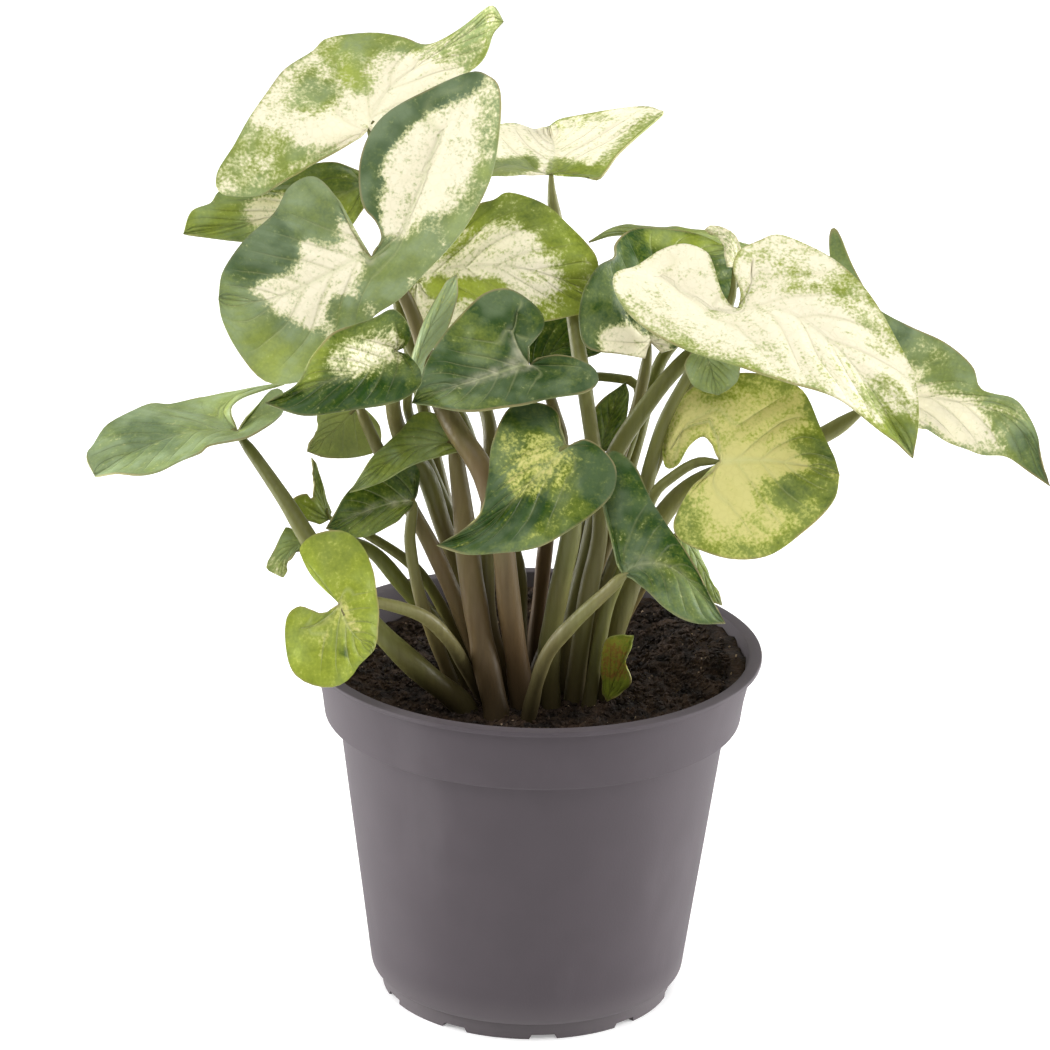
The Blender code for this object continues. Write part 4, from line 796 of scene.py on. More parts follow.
def leaf_material(name, colours, cream, count):
    """A leaf blade: variegated, veined, satin above and paler and duller below."""
    tree, shader, vector = new_material(name, 0.42, 0.13)
    uv = new_node(tree, "ShaderNodeUVMap", uv_map="leaf")
    split = new_node(tree, "ShaderNodeSeparateXYZ", {0: uv.outputs[0]})
    across = minus(tree, times(tree, split.outputs[0], 2.0), 1.0)
    along = minus(tree, times(tree, split.outputs[1], 1.0 + LOBE_ALONG), LOBE_ALONG)
    wobble = surface_noise(tree, vector, 60.0, 1.0)
    veins = group_node(tree, "leaf_veins", Vector=vector, Across=across, Along=along,
                       Count=float(count), Wobble=wobble).outputs
    vein = attribute(tree, "vein")
    # The grey share and its colour paint a grey-green sheen in place of light glancing off the blade.
    colour = group_node(tree, "variegation", Vector=vector, Streak=veins["Streak"],
                        Green=attribute(tree, "green"), Dark=attribute(tree, "dark"),
                        Grey=attribute(tree, "grey"), Cream_colour=cream, Lime_colour=colours.lime,
                        Dark_colour=colours.dark, Bloom_colour=colours.painted_sheen).outputs["Colour"]
    pale = maths(tree, "MAXIMUM", veins["Midrib"], times(tree, veins["Side veins"], 0.6))
    pale = times(tree, pale, vein)
    colour = mix_colour(tree, pale, colour, mix_colour(tree, 0.45, colour, PALE_VEIN))
    smear = times(tree, ramp(tree, maths(tree, "ABSOLUTE", across), 0.26, 0.02),
                  ramp(tree, along, 0.95, 0.2), ramp(tree, along, -0.25, 0.0),
                  maths(tree, "POWER", vein, 2.5),
                  ramp(tree, surface_noise(tree, vector, 300.0, 3.0), 0.1, 0.9), 0.6)
    colour = mix_colour(tree, smear, colour, cream)
    line = maths(tree, "MAXIMUM", times(tree, veins["Side veins"], 0.30),
                 times(tree, veins["Net"], 0.13))
    line = times(tree, line, minus(tree, 1.0, pale))
    colour = mix_colour(tree, line, colour, VEIN_SHADE, blend="MULTIPLY")
    rim = times(tree, ramp(tree, attribute(tree, "rim"), 0.7, 0.1),
                ramp(tree, wobble, 0.35, 0.75, 0.1, 0.65))
    colour = mix_colour(tree, rim, colour, DRY_RIM)
    under = attribute(tree, "under")
    colour = mix_colour(tree, under, colour, mix_colour(tree, 0.40, colour, UNDERSIDE))
    gloss = plus(tree, plus(tree, 0.33, times(tree, under, 0.2)), times(tree, wobble, 0.1))
    grain = group_node(tree, "fine_grain", Vector=vector, Fine=1500.0, Coarse=260.0)
    height = minus(tree, times(tree, grain.outputs["Height"], 0.5), veins["Midrib"])
    height = minus(tree, height, times(tree, veins["Side veins"], 0.5))
    height = minus(tree, height, times(tree, veins["Net"], 0.08))
    height = plus(tree, height, times(tree, veins["Pucker"], ramp(tree, vein, 0.1, 0.4, 0.2, 1.5)))
    finish(tree, shader, colour, gloss, height, 0.8, 0.4 * MM)


def stalk_material(colours):
    """Fleshy stalk: green above, pinkish brown towards the soil and darkened there by painted shade, with
    long streaks.
    """
    tree, shader, vector = new_material("stalk_skin", 0.42, 0.25)
    streaks = surface_noise(tree, vector, 700.0, 2.0, stretch=(1.0, 1.0, 0.06))
    blotches = surface_noise(tree, vector, 90.0, 2.0, stretch=(1.0, 1.0, 0.4))
    along = attribute(tree, "along")
    ruddy = plus(tree, attribute(tree, "ruddy"), times(tree, minus(tree, blotches, 0.5), 0.5))
    ruddy = plus(tree, ruddy, ramp(tree, along, 0.95, 0.0, -0.35, 0.35), clamp=True)
    colour = mix_colour(tree, ruddy, colours.stalk_green, colours.stalk_ruddy)
    pale = times(tree, attribute(tree, "pale"), ramp(tree, along, 0.0, 0.35, 0.2, 1.0), 0.5)
    colour = mix_colour(tree, pale, colour, STALK_PALE)
    colour = mix_colour(tree, times(tree, streaks, 0.6), colour, STALK_STREAK, blend="MULTIPLY")
    # Painted shade: the stalk darkens over the last 26 mm above the soil, where the crowded stalks and
    # leaves shade it.
    foot = ramp(tree, height_of(tree, vector), SOIL_TOP + 26 * MM, SOIL_TOP - 3 * MM, 0.0, 0.88)
    colour = mix_colour(tree, foot, colour, STALK_BASE_SHADE)
    grain = group_node(tree, "fine_grain", Vector=vector, Fine=1400.0, Coarse=300.0)
    height = plus(tree, times(tree, streaks, 0.7), grain.outputs["Height"])
    finish(tree, shader, colour, ramp(tree, streaks, 0.0, 1.0, 0.36, 0.52), height, 0.35, 0.3 * MM)


def peat_material(name, colour, spread):
    """Moist peat, or the flecks in it."""
    tree, shader, vector = new_material(name, 0.85, 0.2)
    grain = group_node(tree, "fine_grain", Vector=vector, Fine=1300.0, Coarse=230.0)
    damp = surface_noise(tree, vector, 45.0, 2.0)
    shade = mix_colour(tree, grain.outputs["Mask"], scaled(colour, 0.35), scaled(colour, spread))
    shade = mix_colour(tree, times(tree, damp, 0.35), shade, scaled(colour, 0.5))
    finish(tree, shader, shade, ramp(tree, damp, 0.2, 0.9, 0.7, 0.95), grain.outputs["Height"], 0.9,
           1.2 * MM)


def plastic_material(colours):
    """Matt moulded plastic with a fine grain, faint handling marks and dust near the floor."""
    tree, shader, vector = new_material("pot_plastic", 0.6, 0.35)
    grain = group_node(tree, "fine_grain", Vector=vector, Fine=1700.0, Coarse=70.0, Coarse_share=0.15)
    scuffs = surface_noise(tree, vector, 40.0, 4.0, stretch=(1.0, 1.0, 0.35))
    colour = mix_colour(tree, ramp(tree, grain.outputs["Mask"], 0.0, 1.0, 0.0, 0.16), colours.plastic,
                        scaled(colours.plastic, 1.35))
    colour = mix_colour(tree, ramp(tree, scuffs, 0.62, 1.0, 0.0, 0.05), colour, SCUFF)
    dust = ramp(tree, height_of(tree, vector), 14 * MM, 3 * MM, 0.0, 0.18)
    colour = mix_colour(tree, dust, colour, DUST)
    finish(tree, shader, colour, ramp(tree, scuffs, 0.0, 1.0, 0.70, 0.76), grain.outputs["Height"],
           0.22, 0.15 * MM)


def make_materials(colours):
    """Every shader group and material, once."""
    if "stalk_skin" in bpy.data.materials:
        return
    grain_group()
    vein_group()
    variegation_group()
    leaf_material("cream_blade", colours, colours.cream, VEIN_COUNT)
    leaf_material("lime_blade", colours, colours.lime_cream, VEIN_COUNT - 1)
    leaf_material("green_blade", colours, colours.cream, VEIN_COUNT)
    leaf_material("bract_skin", colours, colours.dry, VEIN_COUNT - 1)
    stalk_material(colours)
    peat_material("peat_soil", colours.peat, 2.6)
    peat_material("soil_fleck", colours.fleck, 1.5)
    plastic_material(colours)


# ---- mesh helpers ----------------------------------------------------------------------------------
def link_piece(name, mesh, material, node=None):
    """Put a finished mesh in the scene, in place of a solid where one is named."""
    mesh.materials.clear()
    mesh.materials.append(bpy.data.materials[material])
    piece = bpy.data.objects.new(name, mesh)
    bpy.context.scene.collection.objects.link(piece)
    if node:
        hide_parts(node)
    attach(piece, "root")


def finished_mesh(bm, name, sharp=None):
    """The mesh of a bmesh made about the pot's axis, smooth but for edges over sharp degrees."""
    bmesh.ops.translate(bm, verts=bm.verts, vec=AXIS)
    mesh = bpy.data.meshes.new(name)
    bm.to_mesh(mesh)
    bm.free()
    mesh.shade_smooth()
    if sharp:
        mesh.set_sharp_from_angle(angle=radians(sharp))
    return mesh


def grown_mesh(name, source, tree, inputs):
    """The plain mesh that a Geometry Nodes tree makes of a source mesh, which is then removed."""
    carrier = bpy.data.objects.new(name + "_source", source)
    bpy.context.scene.collection.objects.link(carrier)
    modifier = carrier.modifiers.new(name, "NODES")
    modifier.node_group = tree
    sockets = {item.name: item.identifier for item in tree.interface.items_tree
               if item.item_type == "SOCKET" and item.in_out == "INPUT"}
    for label, value in inputs.items():
        modifier[sockets[label]] = value
    graph = bpy.context.evaluated_depsgraph_get()
    mesh = bpy.data.meshes.new_from_object(carrier.evaluated_get(graph))
    mesh.name = name
    bpy.data.objects.remove(carrier, do_unlink=True)
    bpy.data.meshes.remove(source)
    return mesh


def ring(bm, radius, height, steps, turn=0.0):
    """Vertices round the pot's axis."""
    return [bm.verts.new((radius * cos(tau * k / steps + turn), radius * sin(tau * k / steps + turn),
                          height)) for k in range(steps)]


# ---- leaf blades -----------------------------------------------------------------------------------
TURN_ROWS = 4                   # steps between rows that start at different rib points
COLUMN_EASE = 0.35              # how much closer the columns stand at the margin
OWN_SHARE, NEIGHBOUR_SHARE = 0.45, 0.55
SMOOTHING_ROUNDS = 14
SWELL_HEIGHT = 1.1 * MM
SWELL_SCALE = 75                # features in a metre
GROOVE_DEPTH = 0.45 * MM
GROOVE_WIDTH = 0.22             # of the half blade
SWELL_FADE, GROOVE_FADE = 5, 9  # millimetres from the margin over which they die away
WAVES, WAVE_START = 2.3, 1.7    # of a margin: how many to the blade's length, and their phase
PATCH_EDGE = 1.45               # of its radius, where a colour patch has faded out
EDGE_DARKER = 0.12


def row_plan(points, level, rib, tip_rows):
    """The rows of a half blade: where each starts and which margin point it ends at."""
    last = len(rib) - 1
    end = min(range(level + 1), key=lambda i: (points[i] - rib[last]).length)
    plan = [("rib", 0, 0.0)]
    at = 0
    for i in range(1, level + 1):
        if i <= end:
            while at < ceil(last * i / end):
                at += 1
                plan.append(("rib", at, i - 1))
            plan.append(("rib", at, i))
        else:
            plan.append(("rib", at, i))
            while at > round(last * (level - i) / (level - end)):
                at -= 1
                plan.append(("rib", at, i))
    while at > 0:
        at -= 1
        plan.append(("rib", at, level))
    step = (len(points) - 1 - level) / tip_rows
    plan += [("mid", i, level + i * step) for i in range(1, tip_rows)]
    plan.append(("mid", tip_rows, len(points) - 1.0))
    return plan


def half_blade_rows(points, level, rib, midrib, step):
    """Rows of a half blade as (start, end, along), close enough together for a smooth surface."""
    tip_rows = len(midrib) - 1
    plan = row_plan(points, level, rib, tip_rows)
    lobe_rows = sum(1 for kind, number, at in plan if kind == "rib")
    rows = []
    for k, (kind, number, at) in enumerate(plan):
        start = rib[number] if kind == "rib" else midrib[number]
        along = -LOBE_ALONG * (1 - k / max(1, lobe_rows - 1)) if kind == "rib" else number / tip_rows
        end = curve_point(points, at)
        if rows and kind == "rib":
            before_start, before_end, before_along, before_at, before_number = rows[-1]
            turns = number != before_number
            parts = TURN_ROWS if turns else max(1, ceil((end - before_end).length / step))
            for j in range(1, parts):
                share = j / parts
                rows.append((before_start.lerp(start, share),
                             curve_point(points, before_at + (at - before_at) * share),
                             before_along + (along - before_along) * share, at, number))
        rows.append((start, end, along, at, number))
    return [row[:3] for row in rows]


def blade_grid(leaf, sizes):
    """The fine middle surface of a blade: positions, faces, and (across, along) of each vertex."""
    midrib = [place(p) for p in leaf["midrib"]]
    length = sum((q - p).length for p, q in zip(midrib, midrib[1:]))
    fine = evenly(midrib, max(8, ceil(length / sizes.blade_step)))
    columns = sizes.blade_columns
    verts, coords, faces = [], [], []
    for side, level, sign in zip(("left", "right"), leaf["level"], (-1.0, 1.0)):
        points = [place(p) for p in leaf[side]] + [midrib[-1]]
        rib = [fine[0]] + [place(p) for p in leaf.get(side + "_rib", [])]
        rows = half_blade_rows(points, level, rib, fine, sizes.blade_step)
        first = len(verts)
        for start, end, along in rows:
            for j in range(columns + 1):
                share = j / columns
                share = share * (1 + COLUMN_EASE - COLUMN_EASE * share)
                verts.append(start.lerp(end, share))
                coords.append((sign * share, along))
        for r in range(len(rows) - 1):
            for j in range(columns):
                a = first + r * (columns + 1) + j
                quad = (a, a + 1, a + columns + 2, a + columns + 1)
                faces.append(quad[::-1] if side == "left" else quad)
    return verts, faces, coords


def blade_sheet(leaf, sizes):
    """The open middle sheet of a blade, and the attribute layers of its vertices."""
    verts, faces, coords = blade_grid(leaf, sizes)
    bm = bmesh.new()
    layers = {label: bm.verts.layers.float.new(label)
              for label in ("across", "along", "green", "dark", "grey", "vein", "rim", "under")}
    made = []
    for position, (across, along) in zip(verts, coords):
        vertex = bm.verts.new(position)
        vertex[layers["across"]] = across
        vertex[layers["along"]] = along
        made.append(vertex)
    for face in faces:
        bm.faces.new([made[i] for i in face])
    bmesh.ops.remove_doubles(bm, verts=bm.verts, dist=0.02 * MM)
    bmesh.ops.dissolve_degenerate(bm, edges=bm.edges, dist=0.01 * MM)
    return bm, layers


def relax(bm):
    """Smooth a sheet inside its margin; each vertex's distance from the margin, in millimetres."""
    bm.verts.index_update()
    at = np.array([v.co[:] for v in bm.verts])
    ends = np.array([[v.index for v in e.verts] for e in bm.edges])
    margin = np.array([v.is_boundary for v in bm.verts])
    neighbours = np.bincount(ends.ravel())
    for _ in range(SMOOTHING_ROUNDS):
        total = np.zeros_like(at)
        np.add.at(total, ends[:, 0], at[ends[:, 1]])
        np.add.at(total, ends[:, 1], at[ends[:, 0]])
        moved = at * OWN_SHARE + total / neighbours[:, None] * NEIGHBOUR_SHARE
        at = np.where(margin[:, None], at, moved)
    for vertex, position in zip(bm.verts, at):
        vertex.co = position
    bm.normal_update()
    return np.array([np.sqrt(((at[margin] - p) ** 2).sum(1).min()) for p in at]) / MM


def emboss(bm, layers, gaps, sizes):
    """Raise a sheet between its side veins, wave its margin and sink its midrib."""
    for vertex in bm.verts:
        across, along = abs(vertex[layers["across"]]), vertex[layers["along"]]
        gap = gaps[vertex.index]
        phase = along * VEIN_COUNT - VEIN_SWEEP * across ** VEIN_BEND * smooth_step(
            (along + VEIN_START) * 2)
        pillow = sizes.pillow * (0.5 + 0.5 * cos(tau * phase)) * sin(pi * min(across, 1.0))
        fade = smooth_step(gap / SWELL_FADE)
        swell = noise.noise(vertex.co * SWELL_SCALE + Vector((7, 3, 1))) * SWELL_HEIGHT * fade
        wave = sizes.ripple * sin(tau * along * WAVES + WAVE_START) * smooth_step(across * 1.6 - 0.6)
        wave *= smooth_step((1 - along) * 4)
        groove = -GROOVE_DEPTH * smooth_step(1 - across / GROOVE_WIDTH) * smooth_step(
            gap / GROOVE_FADE)
        vertex.co += vertex.normal * (pillow * fade + swell + wave * 0.6 + groove)
    bm.normal_update()


def tint(look, spot, gap):
    """Green share and darkness of a blade at a shown spot, gap from its margin."""
    width, more = look["edge"]
    near_edge = smooth_step(1 - gap / width)
    green = look["green"] + more * near_edge
    dark = look["dark"] + EDGE_DARKER * near_edge
    for x0, z0, x1, z1, radius, add_green, add_dark in look["patches"]:
        dx, dz = x1 - x0, z1 - z0
        share = clamped(((spot[0] - x0) * dx + (spot[1] - z0) * dz) / (dx * dx + dz * dz))
        away = hypot(spot[0] - x0 - dx * share, spot[1] - z0 - dz * share)
        weight = smooth_step(PATCH_EDGE - away / radius)
        green += add_green * weight
        dark += add_dark * weight
    return clamped(green), clamped(dark)


def paint(bm, layers, gaps, look):
    """Write a blade's colouring on the vertices of its sheet."""
    for vertex in bm.verts:
        gap = gaps[vertex.index]
        green, dark = tint(look, shown_at(vertex.co), gap)
        for label, value in (("green", green), ("dark", dark), ("grey", look["grey"]),
                             ("vein", look["vein"]), ("rim", gap)):
            vertex[layers[label]] = value


def thicken(bm, layers, thickness):
    """Make a sheet a closed blade with an underside of its own."""
    upper = list(bm.faces)
    margin = [e for e in bm.edges if e.is_boundary]
    below = {}
    for vertex, normal in {v: v.normal * thickness / 2 for v in bm.verts}.items():
        low = below[vertex] = bm.verts.new(vertex.co - normal)
        for layer in layers.values():
            low[layer] = vertex[layer]
        low[layers["under"]] = 1.0
        vertex.co += normal
    for edge in margin:
        loop = edge.link_loops[0]
        a, b = loop.vert, loop.link_loop_next.vert
        bm.faces.new((b, a, below[a], below[b]))
    for face in upper:
        bm.faces.new([below[v] for v in reversed(face.verts)])


def blade_mesh(name, leaf, look, sizes):
    """A closed blade with its leaf coordinates and colouring attributes."""
    bm, layers = blade_sheet(leaf, sizes)
    gaps = relax(bm)
    emboss(bm, layers, gaps, sizes)
    paint(bm, layers, gaps, look)
    thicken(bm, layers, sizes.blade_thickness)
    leaf_uv = bm.loops.layers.uv.new("leaf")
    for face in bm.faces:
        for loop in face.loops:
            across, along = loop.vert[layers["across"]], loop.vert[layers["along"]]
            loop[leaf_uv].uv = (0.5 + 0.5 * across, (along + LOBE_ALONG) / (1 + LOBE_ALONG))
    return finished_mesh(bm, name, sharp=70)


# ---- stalks ----------------------------------------------------------------------------------------
STALK_UNDER = 0.6               # millimetres from the blade's middle to the stalk's centre under it
STALK_RUN = 3                   # millimetres that the stalk goes on along the midrib
STALK_SUNK = 5 * MM             # that it reaches into the soil
STALK_TIP = 0.1                 # of its length, at the top, over which it thins
STALK_THINNING = 0.72


def upper_side(leaf):
    """The direction that a blade's upper face looks at the stalk."""
    start = place(leaf["midrib"][0])
    ahead = place(leaf["midrib"][1]) - start
    left = place(leaf["left"][leaf["level"][0]]) - start
    right = place(leaf["right"][leaf["level"][1]]) - start
    return (ahead.cross(left) - ahead.cross(right)).normalized()


def stalk_points(leaf):
    """The centre line of a stalk, from inside the soil to under the blade's midrib."""
    upper = upper_side(leaf)
    start, ahead = (place(p) for p in leaf["midrib"][:2])
    x, y = (c * MM for c in leaf["foot"])
    points = [Vector((x, y, SOIL_TOP - STALK_SUNK)), Vector((x, y, SOIL_TOP + 0.5 * MM))]
    points += [place(p) for p in reversed(leaf["stalk"])]
    if (points[-1] - start).dot(upper) > 0:
        upper.negate()
    joint = start - upper * STALK_UNDER * MM
    along = (ahead - start).normalized()
    return points + [joint, joint + along * STALK_RUN * MM - upper * 0.1 * MM]


def stalk_tube_tree(sizes):
    """Geometry Nodes: a tube along each line of edges, as thick as its thickness attribute."""
    tree, given, out = new_tree(
        "stalk_tube", "GeometryNodeTree",
        [("Geometry", "Geometry"), ("Sides", "Int", sizes.stalk_sides), ("Skin", "Material")],
        [("Geometry", "Geometry")])
    line = new_node(tree, "GeometryNodeMeshToCurve", {0: given.outputs["Geometry"]})
    circle = new_node(tree, "GeometryNodeCurvePrimitiveCircle",
                      {"Resolution": given.outputs["Sides"], "Radius": 1.0})
    thickness = new_node(tree, "GeometryNodeInputNamedAttribute", {"Name": "thickness"})
    tube = new_node(tree, "GeometryNodeCurveToMesh",
                    {"Curve": line.outputs[0], "Profile Curve": circle.outputs[0],
                     "Scale": thickness.outputs[0], "Fill Caps": True})
    smooth = new_node(tree, "GeometryNodeSetShadeSmooth", {0: tube.outputs[0]})
    whole = new_node(tree, "GeometryNodeRealizeInstances", {0: smooth.outputs[0]})
    skin = new_node(tree, "GeometryNodeSetMaterial",
                    {"Geometry": whole.outputs[0], "Material": given.outputs["Skin"]})
    feed(tree, out, {0: skin.outputs[0]})
    return tree


def stalk_radius(share, radii, ruddy, pale):
    """Radius of a stalk at a share of its way up: swollen, knotted low down and thin at its end."""
    top, middle, foot = (r * MM for r in radii)
    if share < 0.5:
        radius = foot + (middle - foot) * smooth_step(share * 2)
    else:
        radius = middle + (top - middle) * smooth_step(share * 2 - 1)
    knot = 0.06 * sin(share * 31 + 7 * ruddy) + 0.05 * sin(share * 13 + 40 * pale)
    radius *= 1 + knot * (1 - share)
    if share > 1 - STALK_TIP:
        radius *= 1 - STALK_THINNING * smooth_step((share - 1 + STALK_TIP) / STALK_TIP)
    return radius


def stalk_mesh(name, leaf, look, sizes, tree):
    """A stalk's tube as a plain mesh."""
    path = evenly(stalk_points(leaf), sizes.stalk_rings)
    last = len(path) - 1
    shares = [i / last for i in range(len(path))]
    ruddy, pale = look["stalk"]
    line = bpy.data.meshes.new(name)
    line.from_pydata([p + AXIS for p in path], [(i, i + 1) for i in range(last)], [])
    for label, numbers in (
            ("thickness", [stalk_radius(share, leaf["radii"], ruddy, pale) for share in shares]),
            ("along", shares), ("ruddy", [ruddy] * len(path)), ("pale", [pale] * len(path))):
        line.attributes.new(label, "FLOAT", "POINT").data.foreach_set("value", numbers)
    return grown_mesh(name, line, tree, {"Sides": sizes.stalk_sides,
                                         "Skin": bpy.data.materials["stalk_skin"]})


# ---- pot -------------------------------------------------------------------------------------------
def body_radius(height):
    """Outer radius of the pot's body at a height below its collar."""
    return BODY_LOW_RADIUS + (BODY_TOP_RADIUS - BODY_LOW_RADIUS) * (height - FOOT_HEIGHT) / (
        STEP_HEIGHT - FOOT_HEIGHT)


def arc(centre, radius, start, stop, count):
    """(radius, height) points on part of a circle, angles in degrees."""
    angles = [radians(start + (stop - start) * k / count) for k in range(count + 1)]
    return [(centre[0] + radius * cos(a), centre[1] + radius * sin(a)) for a in angles]


def pot_profile():
    """(radius, height) points round the pot's wall, from under its floor out and back inside."""
    small = 0.35 * MM
    step, low = STEP_HEIGHT, FOOT_HEIGHT
    lip_low = POT_HEIGHT - LIP_THICK
    corner = (body_radius(low + EDGE_ROUND) - EDGE_ROUND, low + EDGE_ROUND)
    inner = (body_radius(FLOOR_TOP + EDGE_ROUND) - WALL - EDGE_ROUND, FLOOR_TOP + EDGE_ROUND)
    return [
        (DRAIN_INNER, low), (DRAIN_OUTER, low), (FOOT_INNER, low), (FOOT_INNER, NOTCH_DEPTH),
        (FOOT_OUTER, NOTCH_DEPTH), (FOOT_OUTER + 0.2 * MM, low),
        *arc(corner, EDGE_ROUND, -84, -6, 6),
        *((body_radius(height), height) for height in (20 * MM, 48 * MM)),
        (BODY_TOP_RADIUS - 0.2 * MM, step - 1.2 * MM), (BODY_TOP_RADIUS + 0.15 * MM, step),
        *arc((BAND_LOW_RADIUS - 0.8 * MM, step + 0.8 * MM), 0.8 * MM, -90, 0, 4),
        (BAND_LOW_RADIUS + 0.7 * MM, step + 6 * MM), (BAND_TOP_RADIUS, lip_low - 1.2 * MM),
        *arc((BAND_TOP_RADIUS + 0.6 * MM, lip_low - 0.6 * MM), 0.6 * MM, 180, 90, 3),
        *arc((RIM_RADIUS - small, lip_low + small), small, -90, 0, 3),
        *arc((RIM_RADIUS - small, POT_HEIGHT - small), small, 0, 90, 3),
        *arc((BAND_TOP_RADIUS - WALL + small, POT_HEIGHT - small), small, 90, 180, 3),
        (BAND_LOW_RADIUS - WALL, step + WALL), (BODY_TOP_RADIUS - WALL, step + WALL - 0.4 * MM),
        *arc(inner, EDGE_ROUND, 0, -90, 4),
        (DRAIN_OUTER, FLOOR_TOP), (DRAIN_INNER, FLOOR_TOP)]


def lower_feet(bm, inner, outer, per_foot):
    """Push the feet down from between the ring's inner and outer circles and lean their ends."""
    feet = []
    for k in range(len(inner)):
        if k % per_foot < per_foot * FOOT_SHARE:
            n = (k + 1) % len(inner)
            corners = {inner[k], inner[n], outer[k], outer[n]}
            feet += [f for f in inner[k].link_faces if set(f.verts) == corners]
    pushed = bmesh.ops.extrude_face_region(bm, geom=feet)["geom"]
    bmesh.ops.delete(bm, geom=feet, context="FACES_ONLY")
    moved = [v for v in pushed if isinstance(v, bmesh.types.BMVert)]
    bmesh.ops.translate(bm, verts=moved, vec=(0, 0, -NOTCH_DEPTH))
    pitch = 360 / FOOT_COUNT
    for vertex in moved:
        angle = (degrees(atan2(vertex.co.y, vertex.co.x)) - POT_TURN) % pitch
        if min(angle, abs(angle - pitch * FOOT_SHARE)) < 1.0:
            slope = radians(FOOT_SLOPE if angle < 5 or angle > pitch - 1 else -FOOT_SLOPE)
            vertex.co = Matrix.Rotation(slope, 3, "Z") @ vertex.co


def pot_mesh(sizes):
    """The pot: one moulding with a lip, a stepped collar, ten feet and drain holes."""
    steps = sizes.pot_steps
    per_foot = steps // FOOT_COUNT
    per_drain = per_foot // 4
    bm = bmesh.new()
    rings = [ring(bm, radius, height, steps, radians(POT_TURN)) for radius, height in pot_profile()]
    floor_bands = (0, len(rings) - 2)
    for i, (low, high) in enumerate(zip(rings, rings[1:])):
        for k in range(steps):
            n = (k + 1) % steps
            if not (i in floor_bands and k % per_foot < per_drain):
                bm.faces.new((low[k], low[n], high[n], high[k]))
    a, b, c, d = rings[0], rings[1], rings[-2], rings[-1]
    for k in range(steps):
        if k % per_foot < per_drain:
            n = (k + 1) % steps
            bm.faces.new((a[n], a[k], d[k], d[n]))
            bm.faces.new((b[k], b[n], c[n], c[k]))
            if k % per_foot == 0:
                bm.faces.new((a[k], b[k], c[k], d[k]))
            if k % per_foot == per_drain - 1:
                bm.faces.new((b[n], a[n], d[n], c[n]))
    bm.faces.new(a[::-1])
    bm.faces.new(d)
    lower_feet(bm, rings[3], rings[4], per_foot)
    bmesh.ops.recalc_face_normals(bm, faces=bm.faces)
    return finished_mesh(bm, "nursery_pot", sharp=40)


# ---- soil ------------------------------------------------------------------------------------------
SOIL_STEPS, SOIL_CIRCLES = 180, 64
HEAP_START, HEAP_RUN = 22 * MM, 28 * MM
SOIL_GAP = 0.3 * MM             # between the soil and the pot's wall and floor
SOIL_SINK = 0.3 * MM            # of the rough surface below the level top
LUMP_HEIGHT, GRIT_HEIGHT = 1.5 * MM, 0.7 * MM
LUMP_SCALE, GRIT_SCALE = 120, 420   # features in a metre


def soil_height(x, y, sizes):
    """Height of the soil's surface about the pot's axis."""
    out = hypot(x, y)
    side = (x * cos(sizes.heap_side) + y * sin(sizes.heap_side)) / max(out, 1e-6)
    heap = sizes.heap * smooth_step(side * 1.1) * smooth_step((out - HEAP_START) / HEAP_RUN)
    spot = Vector((x, y, 0.0))
    lumps = noise.fractal(spot * LUMP_SCALE, 0.9, 2.0, 4) * LUMP_HEIGHT
    grit = noise.noise(spot * GRIT_SCALE) * GRIT_HEIGHT
    return SOIL_TOP + heap + (lumps + grit) - SOIL_SINK


def soil_mesh(sizes):
    """The soil ball: its surface rough and heaped on one side, its sides down the pot's wall."""
    step = STEP_HEIGHT
    lean = (BAND_TOP_RADIUS - BAND_LOW_RADIUS) / (BAND_HEIGHT - WALL)
    bm = bmesh.new()
    rings = [ring(bm, radius, height, SOIL_STEPS) for radius, height in (
        (body_radius(FLOOR_TOP) - WALL - EDGE_ROUND, FLOOR_TOP + SOIL_GAP),
        (body_radius(FLOOR_TOP + EDGE_ROUND) - WALL - SOIL_GAP, FLOOR_TOP + EDGE_ROUND),
        (BODY_TOP_RADIUS - WALL - SOIL_GAP, step + WALL),
        (BAND_LOW_RADIUS - WALL - 0.1 * MM, step + WALL))]
    bm.faces.new(rings[0][::-1])
    for i in range(SOIL_CIRCLES, 0, -1):
        radius = (BAND_TOP_RADIUS - WALL) * i / SOIL_CIRCLES
        circle = ring(bm, radius, 0.0, SOIL_STEPS)
        for k, vertex in enumerate(circle):
            x, y = radius * cos(tau * k / SOIL_STEPS), radius * sin(tau * k / SOIL_STEPS)
            height = soil_height(x, y, sizes)
            edge = BAND_LOW_RADIUS - WALL + lean * (height - step - WALL) + 0.1 * MM
            if radius > edge:
                x, y = x * edge / radius, y * edge / radius
            vertex.co = x, y, height
        rings.append(circle)
    for below, above in zip(rings, rings[1:]):
        for k in range(SOIL_STEPS):
            n = (k + 1) % SOIL_STEPS
            bm.faces.new((below[k], below[n], above[n], above[k]))
    middle = bm.verts.new((0, 0, soil_height(0, 0, sizes)))
    for k in range(SOIL_STEPS):
        bm.faces.new((rings[-1][k], rings[-1][(k + 1) % SOIL_STEPS], middle))
    bmesh.ops.remove_doubles(bm, verts=bm.verts, dist=0.001 * MM)
    bmesh.ops.recalc_face_normals(bm, faces=bm.faces)
    return finished_mesh(bm, "soil_ball")


